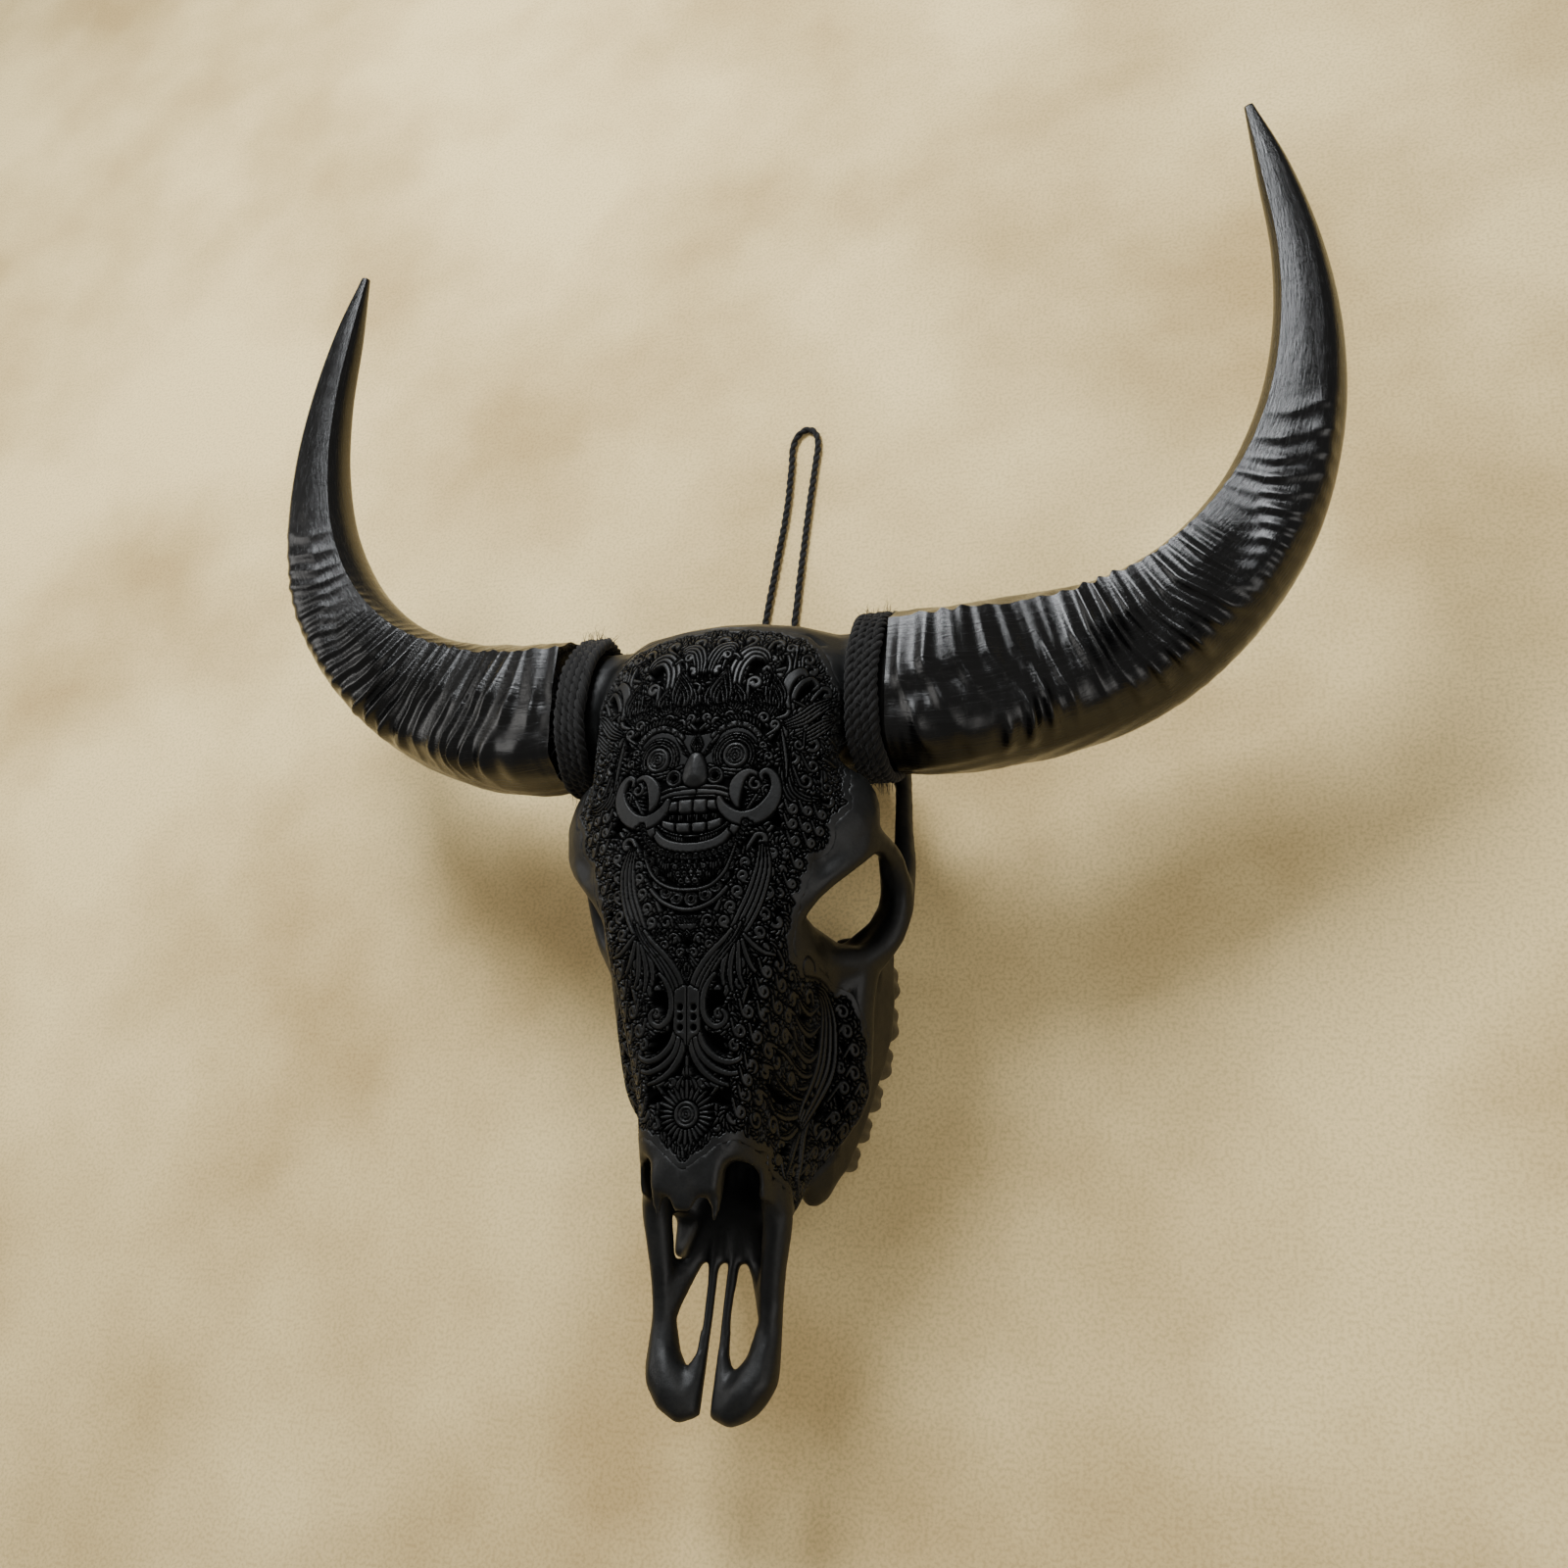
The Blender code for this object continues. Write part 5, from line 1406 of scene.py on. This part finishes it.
# %% [markdown]
# The skull's body is the CAD skull made fine: its copy is merged, rebuilt from small even faces, and
# smoothed as bone is smooth between its sutures. Under the panel it is pushed in, to make room.

# %% The skull's body
BODY_FACE = 0.0019
MERGE_WITHIN = 0.00002
BODY_KEEP = 0.62  # share of the triangles that stay
body = bpy.data.objects.new("skull_bone", skull_node.data.copy())
bpy.context.scene.collection.objects.link(body)
select_only(body)
bpy.ops.object.mode_set(mode="EDIT")
bpy.ops.mesh.select_all(action="SELECT")
bpy.ops.mesh.remove_doubles(threshold=MERGE_WITHIN)
bpy.ops.object.mode_set(mode="OBJECT")
rebuild = body.modifiers.new("rebuild", "REMESH")
rebuild.mode = "VOXEL"
rebuild.voxel_size = BODY_FACE
soften = body.modifiers.new("soften", "SMOOTH")
soften.factor = 0.5
soften.iterations = 9
lighten = body.modifiers.new("lighten", "DECIMATE")
lighten.ratio = BODY_KEEP
apply_modifiers(body)
print("body points", len(body.data.vertices))

# %% Making room under the panel
points = get_points(body)
y = points[:, 1] - FRAME_SHIFT
angle = np.arctan2(points[:, 0], points[:, 2] - axis_height(y))
row = np.clip((y - ray_rows[0]) / ROW_STEP, 0, len(ray_rows) - 1.001)
column = np.clip((angle - ray_angles[0]) / (ray_angles[1] - ray_angles[0]), 0, len(ray_angles) - 1.001)
r, c = row.astype(int), column.astype(int)
fr, fc = row - r, column - c
point_s = ((ray_s[r, c] * (1 - fc) + ray_s[r, c + 1] * fc) * (1 - fr)
           + (ray_s[r + 1, c] * (1 - fc) + ray_s[r + 1, c + 1] * fc) * fr)


def at_points(values):
    """Values of the board at every point of the body."""
    across = np.clip((point_s + S_REACH) / GRID, 0, COLUMNS - 1.001)
    upward = np.clip((y * 1000 - T_LOW) / GRID, 0, ROWS - 1.001)
    i, j = upward.astype(int), across.astype(int)
    shape = (-1,) + (1,) * (values.ndim - 2)
    fi, fj = (upward - i).reshape(shape), (across - j).reshape(shape)
    return ((values[i, j] * (1 - fj) + values[i, j + 1] * fj) * (1 - fi)
            + (values[i + 1, j] * (1 - fj) + values[i + 1, j + 1] * fj) * fi)


near = at_points(nearness)
skin = at_points(board)
gap = np.linalg.norm(points - skin, axis=1)
on_board = (np.abs(point_s) < S_REACH - 1) & (y * 1000 > T_LOW + 1) & (y * 1000 < T_HIGH - 1)
outside = smooth_step(0.0080, 0.0045, gap) * on_board
WIDE_NEAR = 9.0 / GRID
snap = smooth_step(0.0, 0.25, at_points(blurred(drawn, WIDE_NEAR))) * outside
EDGE_BODY = 0.085
ROOM_IN = 0.15
ROOM_FULL = 0.38
room = smooth_step(ROOM_IN, ROOM_FULL, near) * outside
push = room * (at_points(fine_depth) - 0.0004) + 0.00012 * smooth_step(EDGE_BODY, ROOM_IN, near) * outside
points = points + (skin - points) * snap[:, None] - at_points(board_normal) * push[:, None]
set_points(body, points)
# painted shade: where the body is pushed in under the panel, seen through its holes, it is painted dark
set_attribute(body, "cut_depth", room)
select_only(body)
bpy.ops.object.shade_smooth()
finish_piece(body, bone, "bone", "skull")

# %% [markdown]
# Buffalo cheek teeth are tall prisms with folded walls: two half-moon lobes on the outside with ribs
# between. One tooth is modelled from a ring of points by extruding it upwards, and then copied to twelve
# places, each copy stretched to its own size.

# %% One cheek tooth
TOOTH_CORNERS = 56
TOOTH_HEIGHT = 0.034
TOOTH_GAP = 0.95  # share of its place that a tooth fills
TOOTH_STEP = 6.0  # degrees that each tooth stands out at its front edge
bpy.ops.mesh.primitive_circle_add(vertices=TOOTH_CORNERS, radius=0.5, fill_type="NGON",
                                  location=(0, 0, 0))
model_tooth = bpy.context.object
model_tooth.name = "cheek_tooth"
bpy.ops.object.mode_set(mode="EDIT")
bpy.ops.mesh.select_all(action="SELECT")
bpy.ops.mesh.inset(thickness=0.10, depth=-0.03)
bpy.ops.mesh.inset(thickness=0.12, depth=0.03)
bpy.ops.object.mode_set(mode="OBJECT")
select_only(model_tooth)
bpy.ops.object.mode_set(mode="EDIT")
bpy.ops.mesh.select_all(action="DESELECT")
bpy.ops.mesh.select_mode(type="EDGE")
bpy.ops.mesh.select_non_manifold()
for rise, size in ((0.05, 1.03), (0.30, 1.0), (0.30, 0.97), (0.35, 0.93)):
    bpy.ops.mesh.extrude_region_move(TRANSFORM_OT_translate={"value": (0, 0, rise)})
    bpy.ops.transform.resize(value=(size, size, 1))
bpy.ops.mesh.edge_face_add()
bpy.ops.object.mode_set(mode="OBJECT")
face_outwards(model_tooth)
tooth_points = get_points(model_tooth)
tooth_angle = np.arctan2(tooth_points[:, 1], tooth_points[:, 0])
tooth_reach = np.hypot(tooth_points[:, 0], tooth_points[:, 1])
SQUARENESS = 3.4
LOBE_CUT = 0.07
FOLD_CUT = 0.022
RIPPLE = 0.02
cos, sin = np.cos(tooth_angle), np.sin(tooth_angle)
square = (np.abs(cos) ** SQUARENESS + np.abs(sin) ** SQUARENESS) ** (-1 / SQUARENESS)
lobes = 1 - LOBE_CUT * (0.5 + 0.5 * np.cos(4 * (tooth_angle - math.pi / 2))) ** 3 * np.abs(cos)
folds = lobes - FOLD_CUT * np.cos(2 * tooth_angle * 3) * np.abs(cos)
tooth_points[:, 0] = tooth_reach * cos * square * folds
tooth_points[:, 1] = tooth_reach * sin * square * (1 - RIPPLE * np.cos(tooth_angle * 8))
set_points(model_tooth, tooth_points)
print("tooth points", len(tooth_points))

# %% Twelve teeth
TEETH = (
    # x, y, length, width, turn in degrees
    (0.0640, -0.1160, 0.0265, 0.0250, 5.0),
    (0.0650, -0.1440, 0.0265, 0.0260, 0.0),
    (0.0630, -0.1705, 0.0240, 0.0250, -8.0),
    (0.0590, -0.1940, 0.0200, 0.0220, -12.0),
    (0.0540, -0.2150, 0.0185, 0.0200, -15.0),
    (0.0485, -0.2345, 0.0180, 0.0175, -17.0),
)
tooth_low = tooth_points[:, 2].min()
tooth_tall = tooth_points[:, 2].max() - tooth_low
for side, word in ((1, "right"), (-1, "left")):
    for number, (x, y_tooth, length, width, turned) in enumerate(TEETH, start=1):
        tooth = bpy.data.objects.new(f"molar_{word}_{number}", model_tooth.data.copy())
        bpy.context.scene.collection.objects.link(tooth)
        u = tooth_points[:, 0] * width
        v = tooth_points[:, 1] * length * TOOTH_GAP
        a = math.radians(turned + TOOTH_STEP)
        place_x = (x + u * math.cos(a) - v * math.sin(a)) * side
        place_y = y_tooth + u * math.sin(a) + v * math.cos(a) + FRAME_SHIFT
        place_z = (tooth_points[:, 2] - tooth_low) / tooth_tall * TOOTH_HEIGHT
        set_points(tooth, np.stack([place_x, place_y, place_z], 1))
        select_only(tooth)
        if side < 0:
            face_outwards(tooth)
        bpy.ops.object.shade_smooth_by_angle(angle=math.radians(50))
        finish_piece(tooth, enamel, "enamel", f"tooth_{word}_{number}")
bpy.data.objects.remove(model_tooth)

# %% [markdown]
# A water buffalo's horn is a flattened, three-sided sheath. Its basal half has heavy growth folds across
# the front, that wander and fade towards the back, and its tip is smooth. The outline of a section is moved
# along the horn's middle line, which the CAD shares, and the folds are raised on it point by point.

# %% The horn's middle line and section
HORN_LINE = (
    # x, y, z, half height, half depth
    (0.112, 0.030, 0.150, 0.0530, 0.0420),
    (0.150, 0.031, 0.146, 0.0535, 0.0425),
    (0.198, 0.045, 0.131, 0.0535, 0.0420),
    (0.250, 0.064, 0.127, 0.0485, 0.0380),
    (0.298, 0.093, 0.135, 0.0415, 0.0330),
    (0.335, 0.134, 0.148, 0.0355, 0.0285),
    (0.357, 0.186, 0.163, 0.0290, 0.0235),
    (0.365, 0.243, 0.176, 0.0230, 0.0190),
    (0.362, 0.301, 0.189, 0.0175, 0.0150),
    (0.350, 0.358, 0.203, 0.0122, 0.0108),
    (0.337, 0.404, 0.216, 0.0045, 0.0042),
)
HORN_SECTION = (
    (1.00, 0.10), (0.93, 0.52), (0.70, 0.92), (0.25, 1.00), (-0.25, 1.00), (-0.70, 0.92), (-0.93, 0.52),
    (-1.00, 0.10), (-0.92, -0.45), (-0.62, -0.84), (-0.20, -1.00), (0.20, -1.00), (0.62, -0.84),
    (0.92, -0.45),
)
ROPE_START = {1: 0.0845, -1: 0.0925}
ROPE_TURNS = 4
ROPE_SPACING = 0.0066
HORN_FOOT_GAP = 0.0004
HORN_RINGS = 520
HORN_FOLDS = (
    # share of the length, height in mm
    (0.020, 1.5), (0.046, 2.2), (0.072, 2.6), (0.097, 2.4), (0.125, 1.6), (0.162, 0.9), (0.203, 1.4),
    (0.232, 2.7),
    (0.260, 3.3), (0.287, 2.8), (0.311, 3.2), (0.337, 2.2), (0.358, 2.6), (0.378, 1.7), (0.397, 1.8),
    (0.415, 1.2),
    (0.433, 1.4), (0.451, 1.0), (0.469, 1.1), (0.488, 0.8), (0.508, 0.9), (0.530, 0.6), (0.555, 0.6),
    (0.585, 0.4),
)
# widths of a fold's two flanks, its slant across the horn and its wandering, as shares of the length
FOLD_RISE = 0.0060
FOLD_FALL = 0.0105
FOLD_SLANT = 0.024
FOLD_WANDER = 0.0042
FOLD_RIPPLE = 0.0022
# heights in metres
FOLD_HIGHEST = 0.0060
SWELL_HEIGHT = 0.0011
FINE_RING_HEIGHT = 0.0002
PIT_HEIGHT = 0.0006
FOOT_DIP = 0.0012
SKIN_DEPTH = 0.0014
FOLD_GAIN = 1.9
FINE_RINGS = 74
HORN_CORNERS = 88
HORN_FRONT = np.array([0.0, -0.10, 1.0])
FOOT_RINGS = 24  # rings over which the horn turns from straight out into its own line


def waves(along, around, seed, scale, count=10):
    """Smooth wandering noise on the horn, from a few sine waves with seeded directions."""
    rng = np.random.default_rng(seed)
    total = np.zeros(np.broadcast(along, around).shape)
    for _ in range(count):
        a = rng.uniform(0.4, 1.6) * scale
        b = rng.integers(1, 4)
        total += np.sin(a * along + b * around + rng.uniform(0, math.tau))
    return total / math.sqrt(count)


def section_points():
    """The closed section as many points."""
    rows = np.array([(a, b, 0) for a, b in HORN_SECTION + HORN_SECTION[:3]], float)
    fine = smooth_line(rows, 1400)
    angles = np.unwrap(np.arctan2(fine[:, 1], fine[:, 0]))
    low = angles[angles.size // 5]
    want = low + np.arange(HORN_CORNERS) * math.tau / HORN_CORNERS
    return np.stack([np.interp(want, angles, fine[:, 0]), np.interp(want, angles, fine[:, 1])], 1)


# %% Building a horn
def build_horn(side, name, seed):
    base = ROPE_START[side] + ROPE_TURNS * ROPE_SPACING + HORN_FOOT_GAP
    line = smooth_line([(base, *HORN_LINE[0][1:]), *HORN_LINE[1:]], HORN_RINGS)
    middle = line[:, :3]
    along = unit(np.gradient(middle, axis=0))
    ease = smooth_step(0, FOOT_RINGS, np.arange(HORN_RINGS))[:, None]
    along = unit(along * ease + np.array([1.0, 0, 0]) * (1 - ease))
    front = unit(HORN_FRONT - along * (along @ HORN_FRONT)[:, None])
    upward = np.cross(front, along)
    outline = section_points()
    length = np.concatenate([[0], np.cumsum(np.linalg.norm(np.diff(middle, axis=0), axis=1))])
    share = (length / length[-1])[:, None]
    tall, deep = outline[:, 0][None], outline[:, 1][None]
    around = np.arctan2(deep, tall)
    wander = (FOLD_WANDER * waves(share * 14, around, seed, 1.4)
              + FOLD_RIPPLE * waves(share * 50, around * 2, seed + 1, 1.0))
    strength = np.clip(0.95 + 0.45 * waves(share * 40, around * 2, seed + 2, 1.0), 0.1, 1.6)
    facing = 0.05 + (0.95 * smooth_step(0.0, 0.7, deep - 0.25 * np.abs(tall))
                     * smooth_step(0.93, 0.45, tall))
    lift = 0
    for place, height in HORN_FOLDS:
        from_fold = share - place - wander + FOLD_SLANT * tall
        width = np.where(from_fold < 0, FOLD_RISE, FOLD_FALL)
        lift = lift + FOLD_GAIN * height / 1000 * np.exp(-np.abs(from_fold / width) ** 1.7)
    lift = np.minimum(lift, FOLD_HIGHEST) * strength * facing
    lift = lift + SWELL_HEIGHT * waves(share * 11, around, seed + 4, 1.0) * smooth_step(0.8, 0.3, share)
    small = 0.5 - 0.5 * np.cos(math.tau * (share * FINE_RINGS + wander * 60))
    lift = lift + FINE_RING_HEIGHT * small * smooth_step(0.72, 0.3, share) * (0.3 + 0.7 * facing)
    lift = lift + PIT_HEIGHT * waves(share * 60, around * 5, seed + 3, 1.0) * smooth_step(0.5, 0.0, share)
    lift = lift - FOOT_DIP * smooth_step(0.04, 0.0, share) - SKIN_DEPTH
    points = (middle[:, None] + upward[:, None] * ((line[:, 3][:, None] + lift) * tall)[..., None]
              + front[:, None] * ((line[:, 4][:, None] + lift) * deep)[..., None])
    points[..., 0] *= side
    points[..., 1] += FRAME_SHIFT
    faces = ring_faces(HORN_RINGS, HORN_CORNERS)
    tip = len(points.reshape(-1, 3))
    last = (HORN_RINGS - 1) * HORN_CORNERS
    for j in range(HORN_CORNERS):
        faces.append((last + j, last + (j + 1) % HORN_CORNERS, tip))
    tip_point = points[-1].mean(axis=0) + (points[-1].mean(axis=0) - points[-2].mean(axis=0)) * 1.3
    horn = mesh_object(name, np.vstack([points.reshape(-1, 3), tip_point]), faces)
    reach, girth = np.broadcast_arrays(length[:, None], around)
    radius = (line[:, 3] + line[:, 4])[:, None] / 2
    fibre = np.stack([np.cos(girth) * radius * 700, np.sin(girth) * radius * 700, reach * 55 + seed], -1)
    set_fibre(horn, np.vstack([fibre.reshape(-1, 3), fibre[-1].mean(axis=0)]))
    face_outwards(horn)
    bpy.ops.object.shade_smooth_by_angle(angle=math.radians(60))
    return horn


finish_piece(build_horn(1, "ringed_horn_right", 5), horn_finish, "horn", "horn_right")
finish_piece(build_horn(-1, "ringed_horn_left", 31), horn_finish, "horn", "horn_left")

# %% [markdown]
# The joint between bone and horn is hidden by a lashing: rope wound close round it. The rope is three
# strands laid together, so the lashing shows slanting lumps, and short hairs stand off it.

# %% Rope lashings
ROPE_CENTRE = (0.0290, 0.1500)
ROPE_HALF_HEIGHT = 0.0575
ROPE_HALF_DEPTH = 0.0440
ROPE_RADIUS = 0.0039
ROPE_STRAND = 0.0020
ROPE_LAY = 0.0175  # metres of rope for one turn of a strand
ROPE_STEPS = 640
ROPE_CORNERS = 10
ROPE_LUMP = 0.16  # share of a strand's radius
ROPE_HAIRS = 320
HAIR_LENGTHS = (0.003, 0.011)
HAIR_RADIUS = 0.00021
HAIR_STEPS = 5
HAIR_CORNERS = 4


def build_lashing(side, name, seed):
    rng = np.random.default_rng(seed)
    share = np.linspace(0, 1, ROPE_STEPS)
    swing = share * ROPE_TURNS * math.tau + 0.4
    out = ROPE_START[side] + ROPE_SPACING * (0.5 + share * (ROPE_TURNS - 1))
    wobble = 0.0004 * np.sin(swing * 3.1 + seed) + 0.0003 * np.sin(swing * 7.3)
    line = np.stack([(out + wobble) * side,
                     ROPE_CENTRE[0] + FRAME_SHIFT + (ROPE_HALF_HEIGHT - ROPE_RADIUS) * np.cos(swing),
                     ROPE_CENTRE[1] + (ROPE_HALF_DEPTH - ROPE_RADIUS) * np.sin(swing)], 1)
    length = np.linalg.norm(np.diff(line, axis=0), axis=1).sum()
    _, first, second = frames_along(line, (1, 0, 0))
    run = share * length
    tubes = []
    fibres = []
    for number in range(3):
        angle = math.tau * (run / ROPE_LAY * side + number / 3)
        middle = line + (ROPE_RADIUS - ROPE_STRAND) * (first * np.cos(angle)[:, None]
                                                      + second * np.sin(angle)[:, None])
        _, strand_first, strand_second = frames_along(middle, (1, 0, 0))
        lumps = np.convolve(rng.normal(0, 1, ROPE_STEPS), np.ones(5) / 5, "same")
        tubes.append(tube(middle, ROPE_STRAND * (1 + ROPE_LUMP * lumps), strand_first, strand_second,
                          ROPE_CORNERS))
        fibres.append(strand_fibre(ROPE_STEPS, ROPE_CORNERS, length, 3.5) + [number * 13 + seed, 0, 0])
    for _ in range(ROPE_HAIRS):
        at = rng.integers(20, ROPE_STEPS - 20)
        outward = np.array([0.0, line[at, 1] - ROPE_CENTRE[0], line[at, 2] - ROPE_CENTRE[1]])
        outward /= np.linalg.norm(outward)
        lean = rng.normal(0, 0.9, 3)
        direction = outward + lean * 0.5
        direction /= np.linalg.norm(direction)
        hair = rng.uniform(*HAIR_LENGTHS)
        start = line[at] + outward * ROPE_RADIUS * 0.7
        steps = np.linspace(0, 1, HAIR_STEPS)[:, None]
        curl = np.cross(direction, outward + 0.1) * rng.uniform(-0.5, 0.5)
        hair_line = start + direction * hair * steps + curl * hair * steps ** 2
        _, hair_first, hair_second = frames_along(hair_line, (0.3, 0.2, 0.9))
        radii = HAIR_RADIUS * (1 - 0.6 * steps[:, 0])
        tubes.append(tube(hair_line, radii, hair_first, hair_second, HAIR_CORNERS))
        fibres.append(strand_fibre(HAIR_STEPS, HAIR_CORNERS, hair, 1.0))
    lashing = joined_tubes(name, tubes)
    set_fibre(lashing, np.concatenate(fibres))
    select_only(lashing)
    bpy.ops.object.shade_smooth()
    return lashing


finish_piece(build_lashing(1, "rope_lashing_right", 3), rope_finish, "fibre", "horn_rope_right")
finish_piece(build_lashing(-1, "rope_lashing_left", 8), rope_finish, "fibre", "horn_rope_left")
